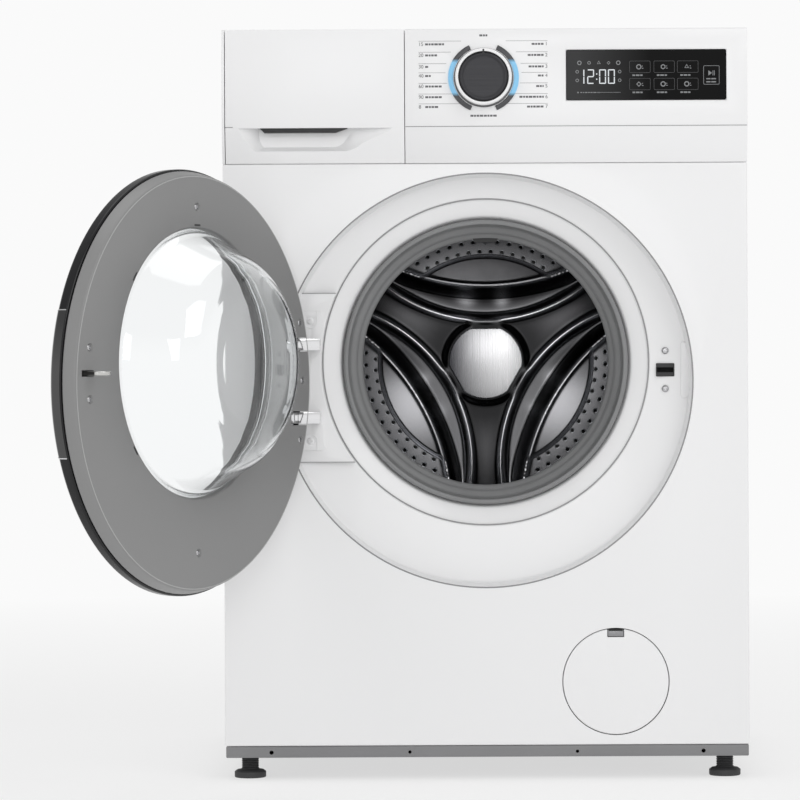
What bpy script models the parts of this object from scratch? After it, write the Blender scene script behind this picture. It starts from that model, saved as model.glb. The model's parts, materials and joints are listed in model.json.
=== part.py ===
"""Front loading washing machine, built as separate parts on real joints.

Metres, +Z up. The parts are laid out in the cabinet's own frame: X to the right
as seen from the front, Y from the front panel's face towards the back, Z up from
the floor. A root empty then puts the origin on the floor under the middle of the
whole machine, with its door standing open.
"""

import math

import bmesh
import bpy
from mathutils import Matrix, Vector

# ---- driving dimensions -------------------------------------------------------
GAP = 0.0003                # clearance between pieces that touch

WIDTH = 0.595
HEIGHT = 0.850
DEPTH = 0.530               # front panel's face to the back sheet's face
SHEET = 0.0015

FOOT_RADIUS = 0.018
FOOT_DISC = 0.009
FOOT_STEM_RADIUS = 0.010
FOOT_INSET = 0.0265         # foot centre to the cabinet's side
FOOT_FRONT = 0.035
FOOT_BACK = 0.495
BASE_BOTTOM = 0.025         # underside of the base pan, over the feet
BASE_RIM = 0.013

FASCIA_HEIGHT = 0.1517
FASCIA_PROUD = 0.010        # how far the fascia stands out from the front panel
FASCIA_DEPTH = 0.060
FASCIA_SLOPE = 0.041        # height of the strip that leans back to the panel
FASCIA_WALL = 0.003
TOP_THICKNESS = 0.020

PANEL_FLANGE = 0.014

AXIS_Z = 0.473              # drum axis over the floor
DOOR_DROP = 0.021           # door centre under the drum axis
RECESS_DEPTH = 0.026
RING_RADIUS = 0.1858        # crease between the dish's two slopes
MOUTH_RADIUS = 0.1645       # inside of the neck that holds the seal

DOOR_RADIUS = 0.231
RECESS_RADIUS = DOOR_RADIUS + 0.0028
DOOR_RING_THICK = 0.014
DOOR_PLATE_THICK = 0.015
DOOR_PLATE_INSET = 0.002
DOOR_PLATE_BEVEL = 0.0055
DOOR_OPEN_DEG = 120.0
GLASS_RADIUS = 0.146
GLASS_WALL = 0.0045
GLASS_DEPTH = 0.094
HANDLE_HALF = 0.077
HANDLE_WIDTH = 0.0175

HINGE_X = -(DOOR_RADIUS - 0.0105)
HINGE_Y = -0.008
PIN_RADIUS = 0.0025
ARM_EYE = 0.0046
ARM_HEIGHT = 0.013
ARM_THICK = 0.003
ARM_REACH = 0.031
ARM_LIFT = 0.0415           # each arm's height over or under the door centre

LOCK_X = DOOR_RADIUS - 0.026
LOCK_Z = 0.463
LOCK_SLOT_W = 0.0214
LOCK_SLOT_H = 0.0152
LOCK_POCKET_LEFT = 0.0125    # room for the hook to tilt as it passes the lock

SPLIT_X = -0.090            # seam between drawer front and control fascia
DRAWER_TRAVEL = 0.170
BIN_BOTTOM = HEIGHT - 0.103
BIN_HEIGHT = 0.053
BIN_WALL = 0.002
BIN_DEPTH = 0.215
HOUSING_GAP = 0.003

KNOB_X = -0.001
KNOB_Z = HEIGHT - 0.0553
KNOB_RADIUS = 0.032
KNOB_FACE_RADIUS = KNOB_RADIUS - 0.0035
KNOB_HEIGHT = 0.020
ARC_INNER = KNOB_RADIUS + 0.0025
ARC_OUTER = ARC_INNER + 0.0055
ARC_FROM = 24.0
ARC_TO = 158.0

WINDOW_X = 0.183
WINDOW_Z = HEIGHT - 0.053
WINDOW_W = 0.181
WINDOW_H = 0.057

FLAP_X = 0.146
FLAP_Z = 0.110
FLAP_RADIUS = 0.060
FLAP_THICK = 0.0025
FLAP_PIVOT_Y = -0.0008       # the flap turns about a line just before the panel
FLAP_PIVOT_RISE = 0.0002

TUB_WALL = 0.004
TUB_FRONT_Y = 0.104
TUB_SEAM_Y = 0.270
TUB_BACK_Y = 0.430
TUB_MOUTH = 0.168
TUB_TRAVEL = 0.008

DRUM_RADIUS = 0.245
TUB_RADIUS = DRUM_RADIUS + 0.017
DRUM_SHEET = 0.0012
DRUM_FRONT_Y = 0.115
DRUM_BACK_Y = 0.400
DRUM_MOUTH = 0.160
LIFTER_HEIGHT = 0.050
LIFTER_WIDTH = 0.060
LIFTER_LENGTH = 0.220

SHAFT_RADIUS = 0.0150
SHAFT_REAR_RADIUS = 0.0125
SHAFT_FIT = 0.0004          # between the shaft and the rings it turns in
BEARING_FRONT = 0.0310
BEARING_REAR = 0.0260
PULLEY_RADIUS = 0.140
PULLEY_Y = 0.472
PULLEY_WIDTH = 0.016
MOTOR_X = 0.130
MOTOR_Z = 0.173
MOTOR_RADIUS = 0.055
MOTOR_PULLEY_RADIUS = 0.010
BELT_THICK = 0.003

SPRING_X = WIDTH / 2 - 0.0185
SPRING_Y = 0.262
SPRING_BOTTOM = 0.5955
SPRING_TOP = HEIGHT - 0.0505
SPRING_RADIUS = 0.008
SPRING_WIRE = 0.0018
SPRING_TURNS = 7
DAMPER_X = 0.200
DAMPER_Y = 0.250
DAMPER_RADIUS = 0.014
DAMPER_TOP = 0.185

HALF_W = WIDTH / 2
DOOR_Z = AXIS_Z - DOOR_DROP
PANEL_TOP = HEIGHT - FASCIA_HEIGHT
PANEL_BOTTOM = BASE_BOTTOM + BASE_RIM
FASCIA_BOTTOM = PANEL_TOP + GAP
FASCIA_CREASE = FASCIA_BOTTOM + FASCIA_SLOPE
TOP_BOTTOM = HEIGHT - TOP_THICKNESS
PAD_Y = RECESS_DEPTH - 0.002
HINGE_PLATE_Y = PAD_Y - SHEET - GAP
SEGMENTS = 48
FINE_SEGMENTS = 60

# ---- the machine's place over the origin --------------------------------------
OPEN = math.radians(DOOR_OPEN_DEG)


def swung(x, y):
    """Where a point of the closed door goes when the door stands open."""
    dx = x - HINGE_X
    dy = y - HINGE_Y
    turn = -OPEN
    return (
        HINGE_X + dx * math.cos(turn) - dy * math.sin(turn),
        HINGE_Y + dx * math.sin(turn) + dy * math.cos(turn),
    )


NOZZLE_END = DEPTH + 0.028
DOOR_LEFT = swung(DOOR_RADIUS, -DOOR_RING_THICK)[0]
DOOR_FRONT = swung(DOOR_RADIUS - DOOR_PLATE_INSET - DOOR_PLATE_BEVEL, DOOR_PLATE_THICK)[1]
CENTRE = Vector(((DOOR_LEFT + HALF_W) / 2, (DOOR_FRONT + NOZZLE_END) / 2, 0))


# ---- collections, materials and small builders --------------------------------
def clear_scene():
    for ob in list(bpy.data.objects):
        bpy.data.objects.remove(ob, do_unlink=True)


def new_collection(name):
    group = bpy.data.collections.new(name)
    bpy.context.scene.collection.children.link(group)
    return group


def material(name, colour, roughness=0.5, metallic=0.0, alpha=1.0):
    mat = bpy.data.materials.new(name)
    mat.use_nodes = True
    shader = mat.node_tree.nodes["Principled BSDF"]
    shader.inputs["Base Color"].default_value = (*colour, 1)
    shader.inputs["Roughness"].default_value = roughness
    shader.inputs["Metallic"].default_value = metallic
    shader.inputs["Alpha"].default_value = alpha
    return mat


def move_to(ob, group):
    for owner in list(ob.users_collection):
        owner.objects.unlink(ob)
    group.objects.link(ob)


def apply_transform(ob):
    ob.data.transform(ob.matrix_basis)
    ob.matrix_basis = Matrix.Identity(4)


def box(name, x, y, z, bevel=0.0, segments=2):
    """A box between pairs of limits, with evenly rounded edges if asked."""
    bpy.ops.mesh.primitive_cube_add(size=1)
    ob = bpy.context.object
    ob.name = name
    ob.scale = (x[1] - x[0], y[1] - y[0], z[1] - z[0])
    ob.location = ((x[0] + x[1]) / 2, (y[0] + y[1]) / 2, (z[0] + z[1]) / 2)
    apply_transform(ob)
    if bevel:
        round_edges(ob, bevel, segments)
    return ob


def round_edges(ob, width, segments=2, limit_deg=40):
    mod = ob.modifiers.new("rounded", "BEVEL")
    mod.width = width
    mod.segments = segments
    mod.limit_method = "ANGLE"
    mod.angle_limit = math.radians(limit_deg)
    return mod


def cylinder(name, radius, start, end, axis="Y", segments=32):
    """A cylinder between two points of (x, y, z) along X, Y or Z."""
    a = Vector(start)
    b = Vector(end)
    bpy.ops.mesh.primitive_cylinder_add(vertices=segments, radius=radius, depth=(b - a).length)
    ob = bpy.context.object
    ob.name = name
    turns = {"X": (0, math.pi / 2, 0), "Y": (math.pi / 2, 0, 0), "Z": (0, 0, 0)}
    ob.rotation_euler = turns[axis]
    ob.location = (a + b) / 2
    bpy.context.view_layer.update()
    apply_transform(ob)
    return ob


def turned(name, profile, centre, steps=SEGMENTS, axis="Y"):
    """A closed profile of (radius, height) points, turned about an axis."""
    area = 0.0
    for (r0, h0), (r1, h1) in zip(profile, profile[1:] + profile[:1]):
        area += r0 * h1 - r1 * h0
    points = list(profile) if area < 0 else list(reversed(profile))
    closed = min(r for r, h in points) > 1e-9
    if not closed:
        first = max(range(len(points)), key=lambda i: (points[i][0] < 1e-9, points[i][1]))
        points = points[first:] + points[:first]
    mesh = bpy.data.meshes.new(name)
    bm = bmesh.new()
    verts = [bm.verts.new((r, 0, h)) for r, h in points]
    pairs = list(zip(verts, verts[1:]))
    if closed:
        pairs.append((verts[-1], verts[0]))
    for a, b in pairs:
        bm.edges.new((a, b))
    bm.to_mesh(mesh)
    bm.free()
    ob = bpy.data.objects.new(name, mesh)
    bpy.context.scene.collection.objects.link(ob)
    mod = ob.modifiers.new("turned", "SCREW")
    mod.steps = steps
    mod.render_steps = steps
    mod.use_merge_vertices = True
    mod.merge_threshold = 0.00001
    if axis == "Y":
        ob.rotation_euler = (-math.pi / 2, 0, 0)
    ob.location = centre
    return to_mesh(ob)


def outline(name, loops, low, high, axis="Y"):
    """A flat outline of one or more closed loops, thick from low to high.

    Axis Y takes (x, z) points, axis X takes (y, z) and axis Z takes (x, y).
    """
    curve = bpy.data.curves.new(name, "CURVE")
    curve.dimensions = "2D"
    curve.fill_mode = "BOTH"
    curve.extrude = (high - low) / 2
    for loop in loops:
        spline = curve.splines.new("POLY")
        spline.points.add(len(loop) - 1)
        for point, (u, v) in zip(spline.points, loop):
            point.co = (u, v, 0, 1)
        spline.use_cyclic_u = True
    ob = bpy.data.objects.new(name, curve)
    bpy.context.scene.collection.objects.link(ob)
    middle = (low + high) / 2
    if axis == "Y":
        ob.rotation_euler = (math.pi / 2, 0, 0)
        ob.location = (0, middle, 0)
    elif axis == "X":
        ob.rotation_euler = (math.pi / 2, 0, math.pi / 2)
        ob.location = (middle, 0, 0)
    else:
        ob.location = (0, 0, middle)
    return to_mesh(ob)


def to_mesh(ob, weld=0.00001):
    """The same shape as a welded mesh, so that it can be cut and joined."""
    bpy.context.view_layer.update()
    graph = bpy.context.evaluated_depsgraph_get()
    mesh = bpy.data.meshes.new_from_object(ob.evaluated_get(graph))
    name = ob.name
    place = ob.matrix_world.copy()
    bpy.data.objects.remove(ob, do_unlink=True)
    bm = bmesh.new()
    bm.from_mesh(mesh)
    bmesh.ops.remove_doubles(bm, verts=bm.verts, dist=weld)
    bmesh.ops.recalc_face_normals(bm, faces=bm.faces)
    bm.to_mesh(mesh)
    bm.free()
    mesh.transform(place)
    new = bpy.data.objects.new(name, mesh)
    bpy.context.scene.collection.objects.link(new)
    return new


def arc(cx, cz, radius, start, end, steps):
    """Points on a circle from one angle to another, in degrees from +X."""
    points = []
    for i in range(steps + 1):
        a = math.radians(start + (end - start) * i / steps)
        points.append((cx + radius * math.cos(a), cz + radius * math.sin(a)))
    return points


def wire(name, points, radius, sides=2):
    """A round wire along points, with closed ends."""
    curve = bpy.data.curves.new(name, "CURVE")
    curve.dimensions = "3D"
    curve.bevel_depth = radius
    curve.bevel_resolution = sides
    curve.use_fill_caps = True
    spline = curve.splines.new("POLY")
    spline.points.add(len(points) - 1)
    for point, co in zip(spline.points, points):
        point.co = (*co, 1)
    ob = bpy.data.objects.new(name, curve)
    bpy.context.scene.collection.objects.link(ob)
    return to_mesh(ob)


class Machine:
    """Keeps the collections, the root and the materials together."""

    def __init__(self):
        self.parts = new_collection("front_load_washing_machine")
        self.cutters = new_collection("cutters")
        self.root = bpy.data.objects.new("root", None)
        self.parts.objects.link(self.root)
        self.root.location = -CENTRE

    def pivot(self, name, place):
        empty = bpy.data.objects.new(name, None)
        empty.empty_display_size = 0.03
        empty.location = place
        empty.parent = self.root
        self.parts.objects.link(empty)
        return empty

    def part(self, ob, look, parent=None, smooth=True):
        """Files a finished piece under its parent, in its own material."""
        move_to(ob, self.parts)
        ob.data.materials.clear()
        ob.data.materials.append(look)
        if smooth:
            ob.data.shade_smooth()
            ob.data.set_sharp_from_angle(angle=math.radians(35))
        ob.parent = self.root if parent is None else parent
        if parent is not None:
            ob.matrix_parent_inverse = Matrix.Translation(-parent.location)
        return ob

    def boolean(self, ob, tool, operation):
        move_to(tool, self.cutters)
        tool.hide_render = True
        tool.display_type = "WIRE"
        tool.parent = ob
        mod = ob.modifiers.new(operation.lower(), "BOOLEAN")
        mod.operation = operation
        mod.solver = "EXACT"
        mod.object = tool
        return ob

    def cut(self, ob, *tools):
        for tool in tools:
            self.boolean(ob, tool, "DIFFERENCE")
        return ob

    def join(self, ob, *tools):
        for tool in tools:
            self.boolean(ob, tool, "UNION")
        return ob

    def keep_inside(self, ob, tool):
        return self.boolean(ob, tool, "INTERSECT")


# ---- cabinet --------------------------------------------------------------------
WINDOW_HALF = 0.215
WINDOW_LOW = 0.160
WINDOW_HIGH = 0.700
VALVE_X = 0.220
VALVE_Z = 0.785
NOZZLE_RADIUS = 0.0125
GLAND_X = -0.200
GLAND_Z = 0.780
GLAND_RADIUS = 0.010


def make_cabinet_wrap(m, looks):
    """Folded sheet: both sides and the back, open at the front."""
    front = PANEL_FLANGE + GAP
    inner = HALF_W - SHEET
    plan = [
        (-HALF_W, front), (-HALF_W, DEPTH), (HALF_W, DEPTH), (HALF_W, front),
        (inner, front), (inner, DEPTH - SHEET), (-inner, DEPTH - SHEET), (-inner, front),
    ]
    wrap = outline("cabinet_wrap", [plan], PANEL_BOTTOM + GAP, TOP_BOTTOM - GAP, axis="Z")
    sides = (DEPTH - 0.01, DEPTH + 0.01)
    fascia_back = FASCIA_DEPTH + GAP
    m.cut(
        wrap,
        box("window_cut", (-WINDOW_HALF, WINDOW_HALF), sides, (WINDOW_LOW, WINDOW_HIGH)),
        box("fascia_cut", (-HALF_W - 0.01, HALF_W + 0.01), (0, fascia_back), (PANEL_TOP, HEIGHT)),
        cylinder("valve_hole", NOZZLE_RADIUS + 0.001, (VALVE_X, sides[0], VALVE_Z),
                 (VALVE_X, sides[1], VALVE_Z)),
        cylinder("gland_hole", GLAND_RADIUS + GAP, (GLAND_X, sides[0], GLAND_Z),
                 (GLAND_X, sides[1], GLAND_Z)),
    )
    for side in (-1, 1):
        edges = sorted((side * (inner + SHEET / 2), side * (SPRING_X - SPRING_RADIUS - 0.004)))
        bracket = box("spring_bracket", edges, (SPRING_Y - 0.02, SPRING_Y + 0.02),
                      (SPRING_TOP + GAP, SPRING_TOP + GAP + 0.003))
        m.join(wrap, bracket)
    m.part(wrap, looks["white_sheet"], smooth=False)


def make_rear_cover(m, looks):
    """Service cover over the back window, pressed outwards to clear the pulley."""
    overlap = 0.010
    y = DEPTH + GAP
    x = (-WINDOW_HALF - overlap, WINDOW_HALF + overlap)
    z = (WINDOW_LOW - overlap, WINDOW_HIGH + overlap)
    cover = box("rear_cover", x, (y, y + SHEET), z)
    rise = 0.013
    edge = 0.030
    bulge = box("bulge", (x[0] + edge, x[1] - edge), (y + SHEET / 2, y + rise),
                (z[0] + edge, z[1] - edge))
    hollow = box("hollow", (x[0] + edge + SHEET, x[1] - edge - SHEET), (y - 0.01, y + rise - SHEET),
                 (z[0] + edge + SHEET, z[1] - edge - SHEET))
    m.join(cover, bulge)
    m.cut(cover, hollow)
    m.part(cover, looks["zinc"], smooth=False)


def ring_loop(bm, radius, z, y, steps):
    """A circle of vertices in the XZ plane, joined by edges."""
    made = bmesh.ops.create_circle(bm, segments=steps, radius=radius)["verts"]
    turn = Matrix.Rotation(math.pi / 2, 4, "X")
    bmesh.ops.transform(bm, matrix=Matrix.Translation((0, y, z)) @ turn, verts=made)
    return [e for e in bm.edges if e.verts[0] in made and e.verts[1] in made]


def make_dish():
    """The pressed dish round the door opening: a wall and two slopes to the neck."""
    loops = [
        (RECESS_RADIUS, DOOR_Z, -0.002),
        (RECESS_RADIUS, DOOR_Z, 0.0015),
        (RECESS_RADIUS - 0.0023, DOOR_Z, RECESS_DEPTH),
        (RING_RADIUS, AXIS_Z, RECESS_DEPTH + 0.005),
        (RING_RADIUS - 0.001, AXIS_Z, RECESS_DEPTH + 0.0065),
        (MOUTH_RADIUS + 0.0015, AXIS_Z, RECESS_DEPTH + 0.016),
        (MOUTH_RADIUS, AXIS_Z, RECESS_DEPTH + 0.022),
    ]
    mesh = bpy.data.meshes.new("dish")
    bm = bmesh.new()
    rings = [ring_loop(bm, r, z, y, FINE_SEGMENTS) for r, z, y in loops]
    for a, b in zip(rings, rings[1:]):
        bmesh.ops.bridge_loops(bm, edges=a + b)
    bmesh.ops.recalc_face_normals(bm, faces=bm.faces)
    front = min(bm.faces, key=lambda f: f.calc_center_median().y)
    outward = front.calc_center_median() - Vector((0, 0, DOOR_Z))
    if front.normal.dot(outward) > 0:
        bmesh.ops.reverse_faces(bm, faces=bm.faces)
    bm.to_mesh(mesh)
    bm.free()
    ob = bpy.data.objects.new("dish", mesh)
    bpy.context.scene.collection.objects.link(ob)
    mod = ob.modifiers.new("wall", "SOLIDIFY")
    mod.thickness = SHEET
    mod.offset = -1
    mod.use_even_offset = True
    return ob


def hinge_pad_outline():
    """Flat pad in the dish for the hinge, between the wall and the crease."""
    low = 0.3595
    high = 0.552
    outer = RECESS_RADIUS - 0.001
    inner = RING_RADIUS + 0.0015
    start = 180 - math.degrees(math.asin((high - DOOR_Z) / outer))
    end = 180 + math.degrees(math.asin((DOOR_Z - low) / outer))
    points = arc(0, DOOR_Z, outer, start, end, 10)
    back = 180 + math.degrees(math.asin((AXIS_Z - low) / inner))
    to = 180 - math.degrees(math.asin((high - AXIS_Z) / inner))
    return points + arc(0, AXIS_Z, inner, back, to, 10)


def make_front_panel(m, looks):
    """Front sheet with its dish, hinge pad, lock slot and filter opening."""
    z = (PANEL_BOTTOM + GAP, PANEL_TOP)
    panel = box("front_panel", (-HALF_W, HALF_W), (0, PANEL_FLANGE), z)
    m.cut(
        panel,
        box("panel_hollow", (-HALF_W + SHEET, HALF_W - SHEET), (SHEET, PANEL_FLANGE + 0.01),
            (z[0] + SHEET, z[1] - SHEET)),
        cylinder("recess_hole", RECESS_RADIUS + SHEET / 2, (0, -0.01, DOOR_Z), (0, 0.05, DOOR_Z),
                 segments=FINE_SEGMENTS),
    )
    trim = box("dish_trim", (-0.26, 0.26), (-0.02, 0.0002), (DOOR_Z - 0.26, DOOR_Z + 0.26))
    dish = make_dish()
    m.cut(dish, trim)
    m.join(panel, dish)
    m.join(panel, outline("hinge_pad", [hinge_pad_outline()], PAD_Y, PAD_Y + 0.007))
    m.cut(
        panel,
        box("lock_slot", (LOCK_X - LOCK_SLOT_W / 2, LOCK_X + LOCK_SLOT_W / 2), (0.01, 0.05),
            (LOCK_Z - LOCK_SLOT_H / 2, LOCK_Z + LOCK_SLOT_H / 2)),
        cylinder("flap_hole", FLAP_RADIUS + 0.0006, (FLAP_X, -0.01, FLAP_Z),
                 (FLAP_X, 0.01, FLAP_Z), segments=48),
    )
    m.part(panel, looks["white_enamel"])


def make_base_pan(m, looks):
    """Floor tray that carries the feet and the dampers."""
    wall = 0.002
    x = HALF_W - 0.001
    pan = box("base_pan", (-x, x), (0.001, DEPTH - 0.002), (BASE_BOTTOM, PANEL_BOTTOM))
    inside = box("pan_hollow", (-x + wall, x - wall), (0.001 + wall, DEPTH - 0.002 - wall),
                 (BASE_BOTTOM + wall, HEIGHT))
    m.cut(pan, inside)
    m.part(pan, looks["base_grey"], smooth=False)


def make_feet(m, looks):
    places = {
        "front_left": (-1, FOOT_FRONT), "front_right": (1, FOOT_FRONT),
        "back_left": (-1, FOOT_BACK), "back_right": (1, FOOT_BACK),
    }
    profile = [
        (0, 0), (FOOT_RADIUS - 0.001, 0), (FOOT_RADIUS, 0.001), (FOOT_RADIUS, FOOT_DISC - 0.001),
        (FOOT_RADIUS - 0.001, FOOT_DISC), (FOOT_STEM_RADIUS, FOOT_DISC),
        (FOOT_STEM_RADIUS, BASE_BOTTOM - GAP), (0, BASE_BOTTOM - GAP),
    ]
    for name, (side, y) in places.items():
        place = (side * (HALF_W - FOOT_INSET), y, 0)
        pivot = m.pivot("foot_%s_axis" % name, place)
        foot = turned("foot_" + name, profile, place, steps=16, axis="Z")
        m.part(foot, looks["foot_black"], pivot)


def make_top_cover(m, looks):
    top = box("top_cover", (-HALF_W + 0.001, HALF_W - 0.001), (FASCIA_DEPTH + GAP, DEPTH + 0.010),
              (TOP_BOTTOM, HEIGHT), bevel=0.0035)
    m.part(top, looks["white_laminate"])


# ---- fascia, drawer and dial -----------------------------------------------------
DRAWER_FRONT_BACK = 0.010
FINGER_TOP = 0.7386
GRIP = [(-0.282, FINGER_TOP), (-0.2785, 0.722), (-0.267, 0.7075), (-0.140, 0.7075),
        (-0.132, 0.7105), (-0.093, FINGER_TOP)]


def fascia_profile(back):
    """Side view of the fascia in (y, z): upright face, then a strip leaning back."""
    top = HEIGHT
    face = -FASCIA_PROUD
    return [
        (face + 0.003, top), (face + 0.0008, top - 0.0008), (face, top - 0.003),
        (face, FASCIA_CREASE), (0, FASCIA_BOTTOM), (back, FASCIA_BOTTOM), (back, top),
    ]


def make_fascia(m, looks):
    """Moulded control panel; its left bay takes the drawer."""
    fascia = outline("control_fascia", [fascia_profile(FASCIA_DEPTH)], -HALF_W, HALF_W, axis="X")
    left = -HALF_W + FASCIA_WALL
    wall = FASCIA_WALL
    low = FASCIA_BOTTOM + wall
    high = HEIGHT - wall
    bay = DRAWER_FRONT_BACK + GAP
    bin_x = (-HALF_W + 0.0125, SPLIT_X - 0.005)
    m.cut(
        fascia,
        box("drawer_bay", (left, SPLIT_X), (-0.05, bay), (0.5, 1)),
        box("right_hollow", (SPLIT_X + wall, HALF_W - wall), (wall, 0.1), (low, high)),
        box("right_face", (SPLIT_X + wall, HALF_W - wall), (wall - FASCIA_PROUD, 0.1),
            (FASCIA_CREASE + wall, high)),
        box("left_hollow", (left, SPLIT_X), (bay + wall, 0.1), (low, high)),
        box("bin_opening", bin_x, (0, 0.05), (BIN_BOTTOM - 0.002, BIN_BOTTOM + 0.068)),
        box("window_pocket", (WINDOW_X - WINDOW_W / 2 - GAP, WINDOW_X + WINDOW_W / 2 + GAP),
            (-0.05, -FASCIA_PROUD + 0.0018),
            (WINDOW_Z - WINDOW_H / 2 - GAP, WINDOW_Z + WINDOW_H / 2 + GAP)),
        cylinder("shaft_hole", 0.0045, (KNOB_X, -0.05, KNOB_Z), (KNOB_X, 0.05, KNOB_Z),
                 segments=24),
    )
    m.part(fascia, looks["white_fascia"])


def make_display(m, looks):
    window = box("display_window", (WINDOW_X - WINDOW_W / 2, WINDOW_X + WINDOW_W / 2),
                 (-FASCIA_PROUD - 0.0006, -FASCIA_PROUD + 0.0015),
                 (WINDOW_Z - WINDOW_H / 2, WINDOW_Z + WINDOW_H / 2))
    m.part(window, looks["black_glass"], smooth=False)
    board = box("control_board", (SPLIT_X + 0.100, HALF_W - 0.012), (0.012, 0.0136),
                (WINDOW_Z - 0.045, WINDOW_Z + 0.040))
    relay = box("relay", (0.060, 0.085), (0.0130, 0.030), (0.790, 0.812))
    filter_coil = box("filter_coil", (0.230, 0.260), (0.0130, 0.034), (0.765, 0.795))
    m.join(board, relay, filter_coil)
    m.part(board, looks["board_green"], smooth=False)


def make_dial(m, looks):
    """Program knob in two pieces, with a light guide on each side of it."""
    face = -FASCIA_PROUD
    front = face - KNOB_HEIGHT
    pivot = m.pivot("program_axis", (KNOB_X, face, KNOB_Z))
    centre = (KNOB_X, 0, KNOB_Z)
    rim = KNOB_RADIUS
    inner = KNOB_FACE_RADIUS
    ring = turned("knob_ring", [
        (inner, face - 0.004), (inner, front + 0.001), (inner + 0.001, front),
        (rim - 0.001, front), (rim, front + 0.001), (rim, face - 0.0012),
        (0.010, face - 0.0012), (0.010, face - 0.004),
    ], centre, steps=36)
    m.part(ring, looks["knob_white"], pivot)
    disc = inner - GAP
    cap = turned("knob_face", [
        (0, front + 0.0005), (disc - 0.0015, front + 0.0005), (disc, front + 0.002),
        (disc, face - 0.0043), (0.0097, face - 0.0043), (0.0040, face - 0.0010),
        (0.0040, 0.010), (0, 0.010),
    ], centre, steps=36)
    m.part(cap, looks["knob_dark"], pivot)
    for name, side in (("left", 1), ("right", -1)):
        start = 90 + side * ARC_FROM
        end = 90 + side * ARC_TO
        loop = arc(KNOB_X, KNOB_Z, ARC_OUTER, start, end, 16)
        loop += arc(KNOB_X, KNOB_Z, ARC_INNER, end, start, 16)
        guide = outline("dial_light_" + name, [loop], face - 0.0012, face - GAP)
        m.part(guide, looks["light_blue"])


def make_drawer(m, looks):
    """Detergent drawer: a front with a grip recess, and a bin with three wells."""
    pivot = m.pivot("drawer_slide", (-0.19, 0, BIN_BOTTOM))
    x = (-HALF_W + FASCIA_WALL + 0.0008, SPLIT_X - 0.0008)
    front = outline("drawer_front", [fascia_profile(DRAWER_FRONT_BACK)], x[0], x[1], axis="X")
    slot_x = (-0.256, -0.156)
    m.cut(
        front,
        outline("grip_cut", [GRIP], -0.05, DRAWER_FRONT_BACK - 0.003),
        box("finger_cut", slot_x, (-FASCIA_PROUD + 0.004, DRAWER_FRONT_BACK - 0.003),
            (FINGER_TOP - 0.008, FINGER_TOP + 0.020)),
    )
    m.part(front, looks["white_fascia_drawer"], pivot)
    bin_x = (-HALF_W + 0.0150, SPLIT_X - 0.0080)
    back = DRAWER_FRONT_BACK + GAP
    high = BIN_BOTTOM + BIN_HEIGHT
    tray = box("drawer_bin", bin_x, (back, back + BIN_DEPTH), (BIN_BOTTOM, high))
    wall = BIN_WALL
    first = -0.210
    second = -0.152
    y_middle = 0.120
    wells = (
        (bin_x[0] + wall, first - wall / 2, back + wall),
        (first + wall / 2, second - wall / 2, y_middle),
        (second + wall / 2, bin_x[1] - wall, back + wall),
        (first + wall / 2, second - wall / 2, back + wall),
    )
    ends = (back + BIN_DEPTH - wall,) * 3 + (y_middle - wall,)
    for (x0, x1, y0), y1 in zip(wells, ends):
        m.cut(tray, box("well", (x0, x1), (y0, y1), (BIN_BOTTOM + wall, 1)))
    m.part(tray, looks["bin_blue_grey"], pivot, smooth=False)
    room = HOUSING_GAP
    thick = 0.0025
    x0 = bin_x[0] - room
    x1 = bin_x[1] + room
    y0 = DRAWER_FRONT_BACK + GAP + FASCIA_WALL + 0.0008
    y1 = back + BIN_DEPTH + 0.012
    z0 = BIN_BOTTOM - room
    z1 = BIN_BOTTOM + 0.068
    housing = box("dispenser_housing", (x0 - thick, x1 + thick), (y0, y1), (z0 - thick, z1 + thick))
    hollow = box("housing_hollow", (x0, x1), (y0 - 0.01, y1 - thick), (z0, z1))
    m.cut(housing, hollow)
    m.part(housing, looks["grey_plastic"], smooth=False)


# ---- door ------------------------------------------------------------------------
def arm_outline():
    """Plan view of a hinge arm: out past the pivot's eye, then back to the plate."""
    half = ARM_THICK / 2
    corner = HINGE_X + ARM_REACH
    tip = HINGE_Y + 0.004
    y = HINGE_Y
    eye = arc(HINGE_X, HINGE_Y, ARM_EYE, 25, 338, 20)
    return [*eye, (corner + half, tip - half), (corner + half, HINGE_PLATE_Y - GAP),
            (corner - half, HINGE_PLATE_Y - GAP), (corner - half, y + 0.004 + half)]


def make_hinge(m, looks):
    """White plate on the dish's pad, and two bent arms that carry the pin."""
    z0 = DOOR_Z - 0.079
    z1 = DOOR_Z + 0.079
    left = -0.2225
    right = -0.184
    waist = -0.1985
    step = ARM_HEIGHT / 2 + 0.002
    low = DOOR_Z - ARM_LIFT
    high = DOOR_Z + ARM_LIFT
    edge = [
        (left + 0.010, z0), (right - 0.003, z0), (right, z0 + 0.003), (right - 0.001, z0 + 0.008),
        (right - 0.002, low - step), (right - 0.002, low + step), (waist, low + step + 0.008),
        (waist, high - step - 0.008), (right - 0.002, high - step), (right - 0.002, high + step),
        (right, z1 - 0.008), (right - 0.004, z1), (left + 0.010, z1),
        (left, z1 - 0.026), (left, z0 + 0.026),
    ]
    plate = outline("hinge_plate", [edge], HINGE_PLATE_Y, HINGE_PLATE_Y + SHEET)
    for z in (DOOR_Z - 0.0685, DOOR_Z + 0.0685):
        m.cut(plate, cylinder("plate_hole", 0.0026, (-0.200, 0, z), (-0.200, 0.05, z), segments=20))
    m.part(plate, looks["white_hinge"], smooth=False)
    for name, z in (("upper", high), ("lower", low)):
        arm = outline("hinge_arm_" + name, [arm_outline()], z - ARM_HEIGHT / 2, z + ARM_HEIGHT / 2,
                      axis="Z")
        m.cut(arm, cylinder("eye_hole", PIN_RADIUS + GAP, (HINGE_X, HINGE_Y, z - 0.02),
                            (HINGE_X, HINGE_Y, z + 0.02), axis="Z", segments=24))
        m.part(arm, looks["chrome"])


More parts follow.
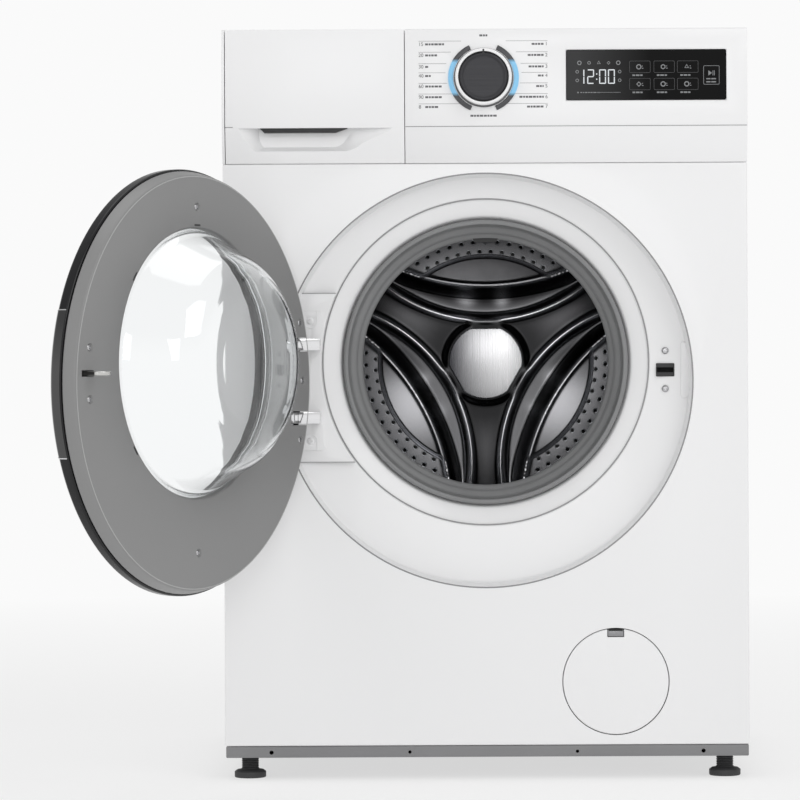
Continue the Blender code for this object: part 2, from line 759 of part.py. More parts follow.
def hinge_pockets(back, reach):
    """Boxes in the closed door that leave the arms their whole swing."""
    boxes = []
    for z in (DOOR_Z - ARM_LIFT, DOOR_Z + ARM_LIFT):
        boxes.append(box("arm_pocket", (reach, HINGE_X + ARM_REACH + 0.004), back,
                         (z - ARM_HEIGHT / 2 - 0.0015, z + ARM_HEIGHT / 2 + 0.0015)))
    return boxes


PIN_HALF = ARM_LIFT + ARM_HEIGHT / 2 + 0.006


def make_door(m, looks):
    """Round door, modelled shut and swung open about its pin."""
    pivot = m.pivot("door_axis", (HINGE_X, HINGE_Y, 0))
    face = -DOOR_RING_THICK
    back = -GAP
    edge = 0.003
    centre = (0, 0, DOOR_Z)
    ring = turned("door_outer_ring", [
        (0, face), (DOOR_RADIUS - edge, face), (DOOR_RADIUS - edge * 0.3, face + edge * 0.3),
        (DOOR_RADIUS, face + edge), (DOOR_RADIUS, back), (0, back),
    ], centre, steps=FINE_SEGMENTS)
    grip_x = DOOR_RADIUS - HANDLE_WIDTH
    ring_cutters = [
        cylinder("glass_hole", GLASS_RADIUS + 0.004, (0, -0.05, AXIS_Z), (0, 0.05, AXIS_Z),
                 segments=FINE_SEGMENTS),
        box("handle_space", (grip_x - GAP, 0.3), (-0.05, 0.05),
            (DOOR_Z - HANDLE_HALF - GAP, DOOR_Z + HANDLE_HALF + GAP)),
        *hinge_pockets((HINGE_Y - ARM_EYE - 0.0008, 0.02), HINGE_X - ARM_EYE - 0.0036),
        box("pin_groove", (HINGE_X - PIN_RADIUS - GAP, HINGE_X + PIN_RADIUS + GAP),
            (HINGE_Y - PIN_RADIUS - GAP, 0.02),
            (DOOR_Z - PIN_HALF - GAP, DOOR_Z + PIN_HALF + GAP)),
    ]
    m.cut(ring, *ring_cutters)
    m.part(ring, looks["black_gloss"], pivot)

    handle = turned("door_handle", [
        (0, face), (DOOR_RADIUS - edge, face), (DOOR_RADIUS - edge * 0.3, face + edge * 0.3),
        (DOOR_RADIUS, face + edge), (DOOR_RADIUS, back), (0, back),
    ], centre, steps=FINE_SEGMENTS)
    m.keep_inside(handle, box("handle_limits", (grip_x, 0.3), (-0.05, 0.05),
                              (DOOR_Z - HANDLE_HALF, DOOR_Z + HANDLE_HALF)))
    m.part(handle, looks["black_handle"], pivot)

    base = DOOR_RADIUS - DOOR_PLATE_INSET
    flat = base - DOOR_PLATE_BEVEL
    plate = turned("door_inner_ring", [
        (0, 0), (base, 0), (flat + 0.001, DOOR_PLATE_THICK - 0.001), (flat - 0.001, DOOR_PLATE_THICK),
        (0, DOOR_PLATE_THICK),
    ], centre, steps=FINE_SEGMENTS)
    rebate = GLASS_RADIUS + 0.0125
    hook_z = (LOCK_Z - HOOK_THICK / 2 - 0.001, LOCK_Z + HOOK_THICK / 2 + 0.001)
    m.cut(
        plate,
        cylinder("plate_hole", GLASS_RADIUS, (0, -0.05, AXIS_Z), (0, 0.05, AXIS_Z),
                 segments=FINE_SEGMENTS),
        cylinder("glass_rebate", rebate, (0, -0.05, AXIS_Z), (0, GLASS_FLANGE + 0.001, AXIS_Z),
                 segments=FINE_SEGMENTS),
        *hinge_pockets((-0.02, 0.05), -0.240),
        box("hook_pocket", (LOCK_X - 0.0105, LOCK_X + 0.0105), (0.002, 0.05), hook_z),
    )
    m.part(plate, looks["grey_door_plate"], pivot)

    m.part(make_glass(rebate), looks["clear_glass"], pivot)

    pin = cylinder("hinge_pin", PIN_RADIUS, (HINGE_X, HINGE_Y, DOOR_Z - PIN_HALF),
                   (HINGE_X, HINGE_Y, DOOR_Z + PIN_HALF), axis="Z", segments=20)
    m.part(pin, looks["steel_pin"], pivot)

    hook_pivot = m.pivot("latch_axis", (LOCK_X - 0.004, HOOK_PIVOT_Y, LOCK_Z))
    hook_pivot.parent = pivot
    hook_pivot.matrix_parent_inverse = Matrix.Translation(-pivot.location)
    m.part(make_latch_hook(), looks["hook_metal"], pivot)
    pivot.rotation_euler = (0, 0, -OPEN)


GLASS_FLANGE = 0.0046
HOOK_THICK = 0.0042
HOOK_PIVOT_Y = 0.0070


def make_glass(rebate):
    """Deep bowl with a flange that is held between the two door rings."""
    rim = rebate - 0.0005
    neck = GLASS_RADIUS - 0.0015
    wall = GLASS_WALL
    y0 = 0.0006
    d = GLASS_DEPTH
    outer = [(rim, y0), (rim, GLASS_FLANGE), (neck, GLASS_FLANGE),
             (neck - 0.012, d * 0.53), (neck - 0.022, d * 0.83), (neck - 0.034, d * 0.95),
             (neck - 0.060, d), (0, d)]
    inner = [(0, d - wall), (neck - 0.063, d - wall), (neck - 0.038, d * 0.945 - wall),
             (neck - wall - 0.022, d * 0.79 - wall / 2), (neck - wall - 0.012, d * 0.50),
             (neck - wall, y0)]
    return turned("door_glass", outer + inner, (0, 0, AXIS_Z), steps=SEGMENTS)


def make_latch_hook():
    """Flat hook on the free side: an eye in the plate and a barb for the lock."""
    eye_x = LOCK_X - 0.004
    y = HOOK_PIVOT_Y
    points = arc(eye_x, y, 0.0045, 180, 360, 10)
    points += [(eye_x + 0.0045, 0.0300), (LOCK_X + 0.0080, 0.0300), (LOCK_X + 0.0080, 0.0335),
               (LOCK_X + 0.0010, 0.0400), (eye_x - 0.0045, 0.0400)]
    hook = outline("latch_hook", [points], LOCK_Z - HOOK_THICK / 2, LOCK_Z + HOOK_THICK / 2,
                   axis="Z")
    return hook


def make_lock(m, looks):
    y = RECESS_DEPTH + 0.009
    lock = box("door_lock", (LOCK_X - 0.016, LOCK_X + 0.016), (y, y + 0.026),
               (LOCK_Z - 0.040, LOCK_Z + 0.035))
    m.cut(lock, box("lock_pocket", (LOCK_X - LOCK_POCKET_LEFT, LOCK_X + 0.0125), (y - 0.01, y + 0.018),
                    (LOCK_Z - 0.0065, LOCK_Z + 0.0065)))
    m.part(lock, looks["lock_black"], smooth=False)


def make_seal(m, looks):
    """Rubber door seal from the neck of the front panel to the mouth of the tub."""
    out = MOUTH_RADIUS - GAP
    y0 = RECESS_DEPTH + 0.0125
    y1 = TUB_FRONT_Y - 0.0055
    seal = turned("door_seal", [
        (out, y0), (out, y0 + 0.018), (out - 0.0055, y0 + 0.022), (out - 0.0055, y1 - 0.010),
        (out, y1 - 0.004), (out, y1), (out - 0.004, y1), (out - 0.009, y1 - 0.005),
        (0.1400, y1 - 0.008), (0.1385, y1 - 0.014), (0.1400, y1 - 0.0185),
        (0.1540, y1 - 0.0205), (0.1545, y0 + 0.022), (0.1560, y0 + 0.007), (0.1590, y0),
    ], (0, 0, AXIS_Z), steps=44)
    m.part(seal, looks["grey_rubber"])


# ---- tub ------------------------------------------------------------------------
def make_tub(m, looks):
    """Plastic outer tub in two halves, with everything bolted to it."""
    pivot = m.pivot("tub_slide", (0, TUB_SEAM_Y, AXIS_Z))
    axis = (0, 0, AXIS_Z)
    r = TUB_RADIUS
    t = TUB_WALL
    f = TUB_FRONT_Y
    s = TUB_SEAM_Y
    front = turned("tub_front", [
        (TUB_MOUTH, f - 0.0045), (TUB_MOUTH + t, f - 0.0045), (TUB_MOUTH + t, f), (r - 0.006, f),
        (r, f + 0.006), (r, s - 0.005), (r + 0.008, s - 0.005), (r + 0.008, s), (r - t, s),
        (r - t, f + 0.008), (r - 0.008, f + t), (TUB_MOUTH, f + t),
    ], axis, steps=40)
    for side in (-1, 1):
        x = sorted((side * (r - 0.035), side * (SPRING_X + 0.006)))
        m.join(front, box("spring_ear", x, (SPRING_Y - 0.007, SPRING_Y + 0.007),
                          (SPRING_BOTTOM - GAP - 0.010, SPRING_BOTTOM - GAP)))
    m.part(front, looks["tub_plastic"], pivot)

    b = TUB_BACK_Y
    bore_f = BEARING_FRONT + GAP
    bore_r = BEARING_REAR + GAP
    rear = turned("tub_rear", [
        (r + 0.008, s + GAP), (r + 0.008, s + 0.005), (r, s + 0.005), (r, b - 0.006), (r - 0.006, b),
        (0.055, b), (0.040, b + 0.032), (bore_r, b + 0.032), (bore_r, b + 0.0163),
        (0.0220, b + 0.0163), (0.0220, b + 0.0022), (bore_f, b + 0.0022), (bore_f, b - 0.020),
        (0.042, b - 0.020), (0.042, b - t), (r - 0.009, b - t), (r - t, b - 0.009), (r - t, s + GAP),
    ], axis, steps=36)
    m.part(rear, looks["tub_plastic_rear"], pivot)

    for name, y0, y1, bore, out in (
        ("shaft_seal", b - 0.0198, b - 0.0146, SHAFT_RADIUS + 0.0010, BEARING_FRONT),
        ("bearing_front", b - 0.0140, b + 0.0018, SHAFT_RADIUS + SHAFT_FIT, BEARING_FRONT),
        ("bearing_rear", b + 0.0166, b + 0.0316, SHAFT_REAR_RADIUS + SHAFT_FIT, BEARING_REAR),
    ):
        ring = turned(name, [(bore, y0), (out, y0), (out, y1), (bore, y1)], axis, steps=24)
        m.part(ring, looks["bearing_steel" if name != "shaft_seal" else "seal_black"], pivot)

    make_counterweights(m, looks, pivot)
    make_heater(m, looks, pivot)
    make_motor(m, looks, pivot)
    make_dampers(m, looks, pivot)


def make_counterweights(m, looks, pivot):
    top = box("counterweight_top", (-0.070, 0.165), (0.150, 0.262), (0.690, 0.800), bevel=0.006,
              segments=1)
    m.cut(top, cylinder("tub_clear", TUB_RADIUS + 0.001, (0, 0.1, AXIS_Z), (0, 0.42, AXIS_Z),
                        segments=72))
    m.part(top, looks["concrete"], pivot)
    inner = TUB_MOUTH + 0.017
    outer = TUB_RADIUS - 0.012
    loop = arc(0, AXIS_Z, outer, 205, 335, 28) + arc(0, AXIS_Z, inner, 335, 205, 24)
    front = outline("counterweight_front", [loop], TUB_FRONT_Y - 0.040, TUB_FRONT_Y - GAP)
    m.part(front, looks["concrete_front"], pivot)


def make_heater(m, looks, pivot):
    """U-shaped heating rod in the sump, between drum and tub."""
    z = AXIS_Z - (DRUM_RADIUS + TUB_RADIUS - TUB_WALL) / 2
    half = 0.030
    y_end = TUB_BACK_Y - TUB_WALL - 0.010
    y_turn = 0.200
    points = [(-half, y_end, z)]
    for i in range(11):
        a = math.pi * i / 10
        points.append((-half * math.cos(a), y_turn - half * math.sin(a), z))
    points.append((half, y_end, z))
    m.part(wire("heater", points, 0.0026), looks["heater_steel"], pivot)


def belt_loop(extra):
    """Loop round the big and the small pulley, standing off by a given amount."""
    big = PULLEY_RADIUS + extra
    small = MOTOR_PULLEY_RADIUS + extra
    dx = MOTOR_X
    dz = MOTOR_Z - AXIS_Z
    reach = math.hypot(dx, dz)
    line = math.degrees(math.atan2(dz, dx))
    lean = math.degrees(math.acos((big - small) / reach))
    points = arc(0, AXIS_Z, big, line + lean, line + 360 - lean, 32)
    points += arc(MOTOR_X, MOTOR_Z, small, line - lean, line + lean, 6)
    return points


def make_motor(m, looks, pivot):
    y0 = 0.315
    y1 = PULLEY_Y - 0.008
    r = MOTOR_RADIUS
    housing = turned("motor_housing", [
        (0.0125, y0), (r - 0.008, y0), (r, y0 + 0.008), (r, y1 - 0.010), (r - 0.006, y1),
        (0.0125, y1), (0.0125, y1 - 0.004), (r - 0.006, y1 - 0.010), (r - 0.005, y0 + 0.012),
        (0.0125, y0 + 0.006),
    ], (MOTOR_X, 0, MOTOR_Z), steps=24)
    m.part(housing, looks["motor_metal"], pivot)
    rotor_pivot = m.pivot("motor_axis", (MOTOR_X, 0, MOTOR_Z))
    p0 = PULLEY_Y
    p1 = PULLEY_Y + PULLEY_WIDTH
    rotor = turned("motor_rotor", [
        (0, y0 - 0.006), (0.008, y0 - 0.006), (0.008, y0 + 0.020), (0.030, y0 + 0.020),
        (0.030, y1 - 0.020), (0.008, y1 - 0.020), (0.008, p0),
        (MOTOR_PULLEY_RADIUS, p0), (MOTOR_PULLEY_RADIUS, p1), (0, p1),
    ], (MOTOR_X, 0, MOTOR_Z), steps=16)
    m.part(rotor, looks["rotor_steel"], rotor_pivot)
    belt = outline("drive_belt", [belt_loop(GAP + BELT_THICK), belt_loop(GAP)],
                   PULLEY_Y + 0.0015, PULLEY_Y + PULLEY_WIDTH - 0.0015)
    m.part(belt, looks["belt_black"], pivot)


def make_dampers(m, looks, pivot):
    """Friction dampers: a tube on the base pan and a rod under the tub."""
    floor = BASE_BOTTOM + 0.002 + GAP
    r = DAMPER_RADIUS
    rod_top = AXIS_Z - math.sqrt(TUB_RADIUS ** 2 - DAMPER_X ** 2) - 0.012
    for name, side in (("left", -1), ("right", 1)):
        place = (side * DAMPER_X, DAMPER_Y, 0)
        tube = turned("damper_tube_" + name, [
            (0, floor), (r, floor), (r, DAMPER_TOP), (r - 0.0025, DAMPER_TOP),
            (r - 0.0025, floor + 0.004), (0, floor + 0.004),
        ], place, steps=16, axis="Z")
        m.part(tube, looks["damper_grey"])
        rod = turned("damper_rod_" + name, [
            (0, DAMPER_TOP - 0.075), (0.0105, DAMPER_TOP - 0.075), (0.0105, DAMPER_TOP - 0.050),
            (0.005, DAMPER_TOP - 0.050), (0.005, rod_top), (0, rod_top),
        ], place, steps=12, axis="Z")
        m.part(rod, looks["rod_steel"], pivot)


def make_springs(m, looks):
    """Tension springs that hang the tub from the cabinet's brackets."""
    per_turn = 8
    count = SPRING_TURNS * per_turn
    low = SPRING_BOTTOM + SPRING_WIRE
    high = SPRING_TOP - SPRING_WIRE
    for name, side in (("left", -1), ("right", 1)):
        points = []
        for i in range(count + 1):
            a = math.tau * i / per_turn
            points.append((side * SPRING_X + SPRING_RADIUS * math.cos(a),
                           SPRING_Y + SPRING_RADIUS * math.sin(a),
                           low + (high - low) * i / count))
        m.part(wire("spring_" + name, points, SPRING_WIRE, sides=0), looks["spring_steel"])


# ---- drum ------------------------------------------------------------------------
def make_drum(m, looks):
    """Steel drum, its spider and shaft, and the pulley that drives it."""
    pivot = m.pivot("drum_axis", (0, 0, AXIS_Z))
    axis = (0, 0, AXIS_Z)
    r = DRUM_RADIUS
    t = DRUM_SHEET
    f = DRUM_FRONT_Y
    b = DRUM_BACK_Y
    shell = turned("drum_shell", [(r - t, f + t + GAP), (r, f + t + GAP), (r, b - t), (r - t, b - t)],
                   axis, steps=56)
    m.part(shell, looks["drum_steel"], pivot)
    mouth = turned("drum_front_ring", [
        (DRUM_MOUTH, f + 0.008), (DRUM_MOUTH, f + 0.002), (DRUM_MOUTH + 0.002, f), (r, f), (r, f + t),
        (DRUM_MOUTH + 0.003, f + t), (DRUM_MOUTH + t, f + 0.003), (DRUM_MOUTH + t, f + 0.008),
    ], axis, steps=40)
    m.part(mouth, looks["drum_front_steel"], pivot)
    back = turned("drum_back", [
        (0, b - 0.012), (0.040, b - 0.012), (0.050, b - 0.004), (r - 0.140, b - 0.008),
        (r - 0.095, b - 0.001), (r - 0.040, b + GAP), (r, b + GAP), (r, b + GAP + t),
        (r - 0.040, b + GAP + t), (r - 0.095, b + t), (r - 0.140, b - 0.008 + t),
        (0.050, b - 0.004 + t), (0.040, b - 0.012 + t), (0, b - 0.012 + t),
    ], axis, steps=36)
    m.part(back, looks["drum_back_steel"], pivot)
    make_lifters(m, looks, pivot)
    make_spider(m, looks, pivot)
    p0 = PULLEY_Y
    p1 = PULLEY_Y + PULLEY_WIDTH
    q = PULLEY_RADIUS
    bore = SHAFT_REAR_RADIUS + GAP
    pulley = turned("drum_pulley", [
        (bore, p0 - 0.004), (0.024, p0 - 0.004), (0.024, p0 + 0.005), (q - 0.006, p0 + 0.005),
        (q - 0.006, p0), (q, p0), (q, p1), (q - 0.006, p1), (q - 0.006, p0 + 0.009),
        (0.024, p0 + 0.009), (0.024, p1), (bore, p1),
    ], axis, steps=32)
    for i in range(5):
        a = math.tau * i / 5
        x = 0.080 * math.cos(a)
        z = AXIS_Z + 0.080 * math.sin(a)
        m.cut(pulley, cylinder("window", 0.030, (x, p0 - 0.01, z), (x, p1 + 0.01, z), segments=12))
    m.part(pulley, looks["pulley_alu"], pivot)


def make_lifters(m, looks, pivot):
    """Three hollow-looking ribs inside the drum, a third of a turn apart."""
    seat = DRUM_RADIUS - DRUM_SHEET - 4 * GAP
    half = math.degrees(math.asin(LIFTER_WIDTH / 2 / seat))
    y0 = (DRUM_FRONT_Y + DRUM_BACK_Y - LIFTER_LENGTH) / 2
    for i in range(3):
        middle = 30 + 120 * i
        loop = arc(0, 0, seat, middle - half, middle + half, 8)
        top = arc(0, 0, seat - LIFTER_HEIGHT, middle + half * 0.35, middle - half * 0.35, 4)
        shoulder = arc(0, 0, seat - LIFTER_HEIGHT * 0.55, middle + half * 0.62, middle + half * 0.62, 1)
        other = arc(0, 0, seat - LIFTER_HEIGHT * 0.55, middle - half * 0.62, middle - half * 0.62, 1)
        points = loop + shoulder[:1] + top + other[:1]
        points = [(x, z + AXIS_Z) for x, z in points]
        rib = outline("lifter_%d" % (i + 1), [points], y0, y0 + LIFTER_LENGTH)
        m.part(rib, looks["lifter_plastic"], pivot)


def make_spider(m, looks, pivot):
    """Cast three-arm spider behind the drum with the shaft pressed into it."""
    b = DRUM_BACK_Y + 0.0022
    t = TUB_BACK_Y
    spider = turned("drum_spider", [
        (0, b), (0.038, b), (0.038, t - 0.0206), (SHAFT_RADIUS, t - 0.0206), (SHAFT_RADIUS, t + 0.0020),
        (SHAFT_REAR_RADIUS, t + 0.0020), (SHAFT_REAR_RADIUS, PULLEY_Y + PULLEY_WIDTH + 0.006),
        (0, PULLEY_Y + PULLEY_WIDTH + 0.006),
    ], (0, 0, AXIS_Z), steps=24)
    end = DRUM_RADIUS - 0.012
    for i in range(3):
        a = math.radians(30 + 120 * i)
        arm = box("arm", (0.020, end), (b, t - 0.0215), (-0.014, 0.014))
        arm.data.transform(Matrix.Translation((0, 0, AXIS_Z)) @ Matrix.Rotation(-a, 4, "Y"))
        m.join(spider, arm)
    m.part(spider, looks["spider_alu"], pivot)


# ---- drain, water and mains -------------------------------------------------------
def make_drain(m, looks):
    """Round flap in the panel, the filter's cap behind it, and the pump."""
    flap_low = FLAP_Z - FLAP_RADIUS + FLAP_PIVOT_RISE
    pivot = m.pivot("flap_axis", (FLAP_X, FLAP_PIVOT_Y, flap_low))
    flap = cylinder("filter_flap", FLAP_RADIUS, (FLAP_X, 0.0002, FLAP_Z),
                    (FLAP_X, 0.0002 + FLAP_THICK, FLAP_Z), segments=48)
    m.part(flap, looks["white_flap"], pivot)
    z = FLAP_Z - 0.004
    filter_pivot = m.pivot("filter_axis", (FLAP_X, 0, z))
    cap = turned("pump_filter", [
        (0, 0.020), (0.028, 0.020), (0.030, 0.022), (0.030, 0.034), (0.022, 0.034), (0.022, 0.100),
        (0, 0.100),
    ], (FLAP_X, 0, z), steps=24)
    m.join(cap, box("grip", (FLAP_X - 0.024, FLAP_X + 0.024), (0.008, 0.022), (z - 0.004, z + 0.004)))
    m.part(cap, looks["filter_grey"], filter_pivot)
    pump = turned("drain_pump", [
        (0.0225, 0.0345), (0.034, 0.0345), (0.034, 0.105), (0.026, 0.112), (0.026, 0.160),
        (0, 0.160), (0, 0.104), (0.0225, 0.104),
    ], (FLAP_X, 0, z), steps=24)
    m.part(pump, looks["pump_white"])


def make_rear_fittings(m, looks):
    valve = box("inlet_valve", (VALVE_X - 0.020, VALVE_X + 0.020), (DEPTH - 0.050, DEPTH - 0.004),
                (VALVE_Z - 0.017, VALVE_Z + 0.017))
    m.join(valve, cylinder("nozzle", NOZZLE_RADIUS, (VALVE_X, DEPTH - 0.010, VALVE_Z),
                           (VALVE_X, NOZZLE_END, VALVE_Z), segments=16))
    m.cut(valve, cylinder("bore", NOZZLE_RADIUS - 0.004, (VALVE_X, DEPTH - 0.006, VALVE_Z),
                          (VALVE_X, NOZZLE_END + 0.01, VALVE_Z), segments=20))
    m.part(valve, looks["valve_white"])
    y = DEPTH + GAP
    r = GLAND_RADIUS
    gland = turned("mains_gland", [
        (0, y - 0.012), (r, y - 0.012), (r, y), (r + 0.003, y), (r + 0.003, y + 0.004),
        (r - 0.002, y + 0.016), (0, y + 0.016),
    ], (GLAND_X, 0, GLAND_Z), steps=16)
    m.part(gland, looks["gland_black"])


def make_looks():
    """Name: (colour, roughness, metallic), one for each finish."""
    white = (0.86, 0.86, 0.86)
    steel = (0.55, 0.56, 0.57)
    table = {
        "white_sheet": (white, 0.35, 0.0), "white_enamel": (white, 0.28, 0.0),
        "white_fascia": (white, 0.32, 0.0), "white_fascia_drawer": (white, 0.32, 0.0),
        "white_laminate": (white, 0.45, 0.0), "white_hinge": (white, 0.4, 0.0),
        "white_flap": (white, 0.35, 0.0), "zinc": ((0.6, 0.61, 0.62), 0.4, 0.9),
        "base_grey": ((0.19, 0.19, 0.2), 0.5, 0.0), "foot_black": ((0.05, 0.05, 0.055), 0.6, 0.0),
        "black_glass": ((0.01, 0.01, 0.012), 0.08, 0.0), "board_green": ((0.03, 0.2, 0.08), 0.5, 0.0),
        "knob_white": (white, 0.25, 0.0), "knob_dark": ((0.09, 0.09, 0.095), 0.35, 0.6),
        "light_blue": ((0.25, 0.55, 0.8), 0.3, 0.0), "bin_blue_grey": ((0.6, 0.65, 0.7), 0.4, 0.0),
        "grey_plastic": ((0.5, 0.5, 0.5), 0.5, 0.0), "chrome": ((0.8, 0.8, 0.8), 0.12, 1.0),
        "black_gloss": ((0.012, 0.012, 0.013), 0.15, 0.0),
        "black_handle": ((0.008, 0.008, 0.008), 0.08, 0.0),
        "grey_door_plate": ((0.3, 0.3, 0.3), 0.45, 0.0), "steel_pin": (steel, 0.25, 1.0),
        "hook_metal": (steel, 0.25, 1.0), "lock_black": ((0.03, 0.03, 0.03), 0.5, 0.0),
        "grey_rubber": ((0.18, 0.185, 0.19), 0.6, 0.0), "tub_plastic": ((0.55, 0.56, 0.55), 0.5, 0.0),
        "tub_plastic_rear": ((0.55, 0.56, 0.55), 0.5, 0.0), "bearing_steel": (steel, 0.25, 1.0),
        "seal_black": ((0.03, 0.03, 0.03), 0.6, 0.0), "concrete": ((0.4, 0.4, 0.38), 0.9, 0.0),
        "concrete_front": ((0.4, 0.4, 0.38), 0.9, 0.0), "heater_steel": (steel, 0.3, 1.0),
        "motor_metal": ((0.45, 0.45, 0.46), 0.4, 0.9), "rotor_steel": (steel, 0.3, 1.0),
        "belt_black": ((0.02, 0.02, 0.02), 0.7, 0.0), "damper_grey": ((0.3, 0.3, 0.31), 0.5, 0.0),
        "rod_steel": (steel, 0.25, 1.0), "spring_steel": (steel, 0.35, 1.0),
        "drum_steel": (steel, 0.25, 1.0), "drum_front_steel": (steel, 0.2, 1.0),
        "drum_back_steel": ((0.4, 0.41, 0.42), 0.18, 1.0),
        "lifter_plastic": ((0.6, 0.6, 0.6), 0.4, 0.0), "spider_alu": (steel, 0.5, 1.0),
        "pulley_alu": (steel, 0.4, 1.0), "filter_grey": ((0.35, 0.35, 0.36), 0.5, 0.0),
        "pump_white": ((0.7, 0.7, 0.7), 0.5, 0.0), "valve_white": ((0.75, 0.75, 0.75), 0.4, 0.0),
        "gland_black": ((0.03, 0.03, 0.03), 0.6, 0.0),
    }
    looks = {name: material(name, *values) for name, values in table.items()}
    looks["clear_glass"] = material("clear_glass", (0.9, 0.92, 0.93), 0.03, 0.0, alpha=0.25)
    return looks


def main():
    clear_scene()
    machine = Machine()
    looks = make_looks()
    for make in (
        make_cabinet_wrap, make_rear_cover, make_front_panel, make_base_pan, make_feet,
        make_top_cover, make_fascia, make_display, make_dial, make_drawer, make_hinge, make_door,
        make_lock, make_seal, make_tub, make_springs, make_drum, make_drain, make_rear_fittings,
    ):
        make(machine, looks)
    bpy.context.view_layer.update()


main()
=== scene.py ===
"""Front loading washing machine: finishes, trim and fine surfaces over its frame."""

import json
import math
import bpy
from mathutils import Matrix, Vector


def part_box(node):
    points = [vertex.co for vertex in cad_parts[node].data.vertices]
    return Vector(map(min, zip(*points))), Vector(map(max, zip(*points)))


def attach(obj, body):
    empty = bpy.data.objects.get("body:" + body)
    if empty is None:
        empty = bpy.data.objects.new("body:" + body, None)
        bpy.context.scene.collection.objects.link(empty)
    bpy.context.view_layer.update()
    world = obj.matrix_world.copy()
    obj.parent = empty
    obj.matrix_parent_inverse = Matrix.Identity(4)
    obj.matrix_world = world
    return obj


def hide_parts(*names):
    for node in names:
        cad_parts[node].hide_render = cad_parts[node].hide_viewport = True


bl_info = {
    "name": "Front Load Washing Machine",
    "version": (1, 0, 0),
    "blender": (4, 5, 0),
    "location": "3D View > Sidebar > Washer",
    "description": "Builds the visible surfaces of a front loading washing machine",
    "category": "Object",
}

import bmesh
import bpy
from bpy.props import FloatProperty, FloatVectorProperty, IntProperty, PointerProperty
from bpy.types import Operator, Panel, PropertyGroup
from mathutils import Matrix, Vector

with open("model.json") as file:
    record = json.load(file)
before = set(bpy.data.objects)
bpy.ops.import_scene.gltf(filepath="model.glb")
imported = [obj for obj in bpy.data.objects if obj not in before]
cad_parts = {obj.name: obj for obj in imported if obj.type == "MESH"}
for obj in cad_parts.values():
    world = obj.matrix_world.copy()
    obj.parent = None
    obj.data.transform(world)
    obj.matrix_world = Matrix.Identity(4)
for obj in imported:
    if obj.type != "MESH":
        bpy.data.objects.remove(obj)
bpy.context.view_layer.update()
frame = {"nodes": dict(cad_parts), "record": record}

# ---- places, all read from the frame ------------------------------------------
PANEL_LOW, PANEL_HIGH = (Vector(c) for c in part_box("front_panel"))
ORIGIN = Vector(((PANEL_LOW.x + PANEL_HIGH.x) / 2, PANEL_LOW.y, 0))


def local(node):
    """A node's box in the cabinet's frame: X from its middle, Y from its front."""
    low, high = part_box(node)
    return Vector(low) - ORIGIN, Vector(high) - ORIGIN


def middle(node):
    low, high = local(node)
    return (low + high) / 2


def joint(name):
    for entry in frame["record"]["behaviour"]["joints"]:
        if entry["name"] == name:
            return entry
    raise ValueError("no joint called " + name)


HALF_W = (PANEL_HIGH.x - PANEL_LOW.x) / 2
AXIS_Z = middle("door_seal").z
DOOR_Z = middle("door_outer_ring").z
DOOR_R = (local("door_outer_ring")[1].z - local("door_outer_ring")[0].z) / 2
PLATE_R = (local("door_inner_ring")[1].z - local("door_inner_ring")[0].z) / 2
GLASS_R = (local("door_glass")[1].z - local("door_glass")[0].z) / 2
HINGE = Vector(joint("door_swing")["pos_m"]) - ORIGIN
OPEN = math.radians(joint("door_swing")["range_deg"][1])
DRUM_R = (local("drum_shell")[1].x - local("drum_shell")[0].x) / 2
DRUM_FRONT = local("drum_front_ring")[0].y
DRUM_BACK = local("drum_shell")[1].y
LOCK = middle("door_lock")
LOCK_HOOK_Z = middle("latch_hook").z
KNOB = middle("knob_ring")
FLAP = middle("filter_flap")
FACE_Y = local("control_fascia")[0].y
SWING = (
    Matrix.Translation(HINGE) @ Matrix.Rotation(-OPEN, 4, "Z") @ Matrix.Translation(-HINGE)
)
GAP = 0.0003
PRINT_LIFT = 0.00012  # printed marks stand this far off their panel
PRINT_THICK = 0.0002
BACK_SHEET_Y = DRUM_BACK - 0.0016


# ---- settings -------------------------------------------------------------------
class WASHER_PG_finish(PropertyGroup):
    """Colours of the main finishes."""

    white: FloatVectorProperty(
        name="White", description="Enamel and moulded covers", subtype="COLOR", size=3,
        default=(0.84, 0.84, 0.845), min=0, max=1)
    door_black: FloatVectorProperty(
        name="Door black", description="Gloss ring round the door", subtype="COLOR", size=3,
        default=(0.012, 0.012, 0.013), min=0, max=1)
    door_grey: FloatVectorProperty(
        name="Door grey", description="Inner plate of the door", subtype="COLOR", size=3,
        default=(0.235, 0.235, 0.235), min=0, max=1)
    seal_grey: FloatVectorProperty(
        name="Seal grey", description="Rubber bellows of the door", subtype="COLOR", size=3,
        default=(0.225, 0.227, 0.23), min=0, max=1)
    steel: FloatVectorProperty(
        name="Drum steel", description="Polished drum sheet", subtype="COLOR", size=3,
        default=(0.42, 0.43, 0.45), min=0, max=1)
    glow: FloatVectorProperty(
        name="Dial glow", description="Light guides beside the knob", subtype="COLOR", size=3,
        default=(0.20, 0.46, 0.68), min=0, max=1)


class WASHER_PG_size(PropertyGroup):
    """Sizes of surfaces that lie on the frame."""

    ring_steps: IntProperty(
        name="Ring steps", description="Faces round the big circles", default=168, min=48, max=256)
    recess_depth: FloatProperty(
        name="Recess depth", description="Depth of the dish behind the door", default=0.026,
        min=0.01, max=0.04, unit="LENGTH")
    hole: FloatProperty(
        name="Drum hole", description="Radius of the holes in the drum", default=0.0017,
        min=0.0008, max=0.003, unit="LENGTH")


class WASHER_PG_stage(PropertyGroup):
    """Camera and light."""

    distance: FloatProperty(
        name="Camera distance", description="From the lens to the front panel", default=4.5,
        min=2, max=12, unit="LENGTH")
    lens: FloatProperty(
        name="Lens", description="Focal length on a 36 mm sensor", default=178.6, min=35, max=400,
        unit="CAMERA")
    light: FloatProperty(
        name="Light", description="Strength of the soft boxes", default=1.0, min=0.1, max=5)


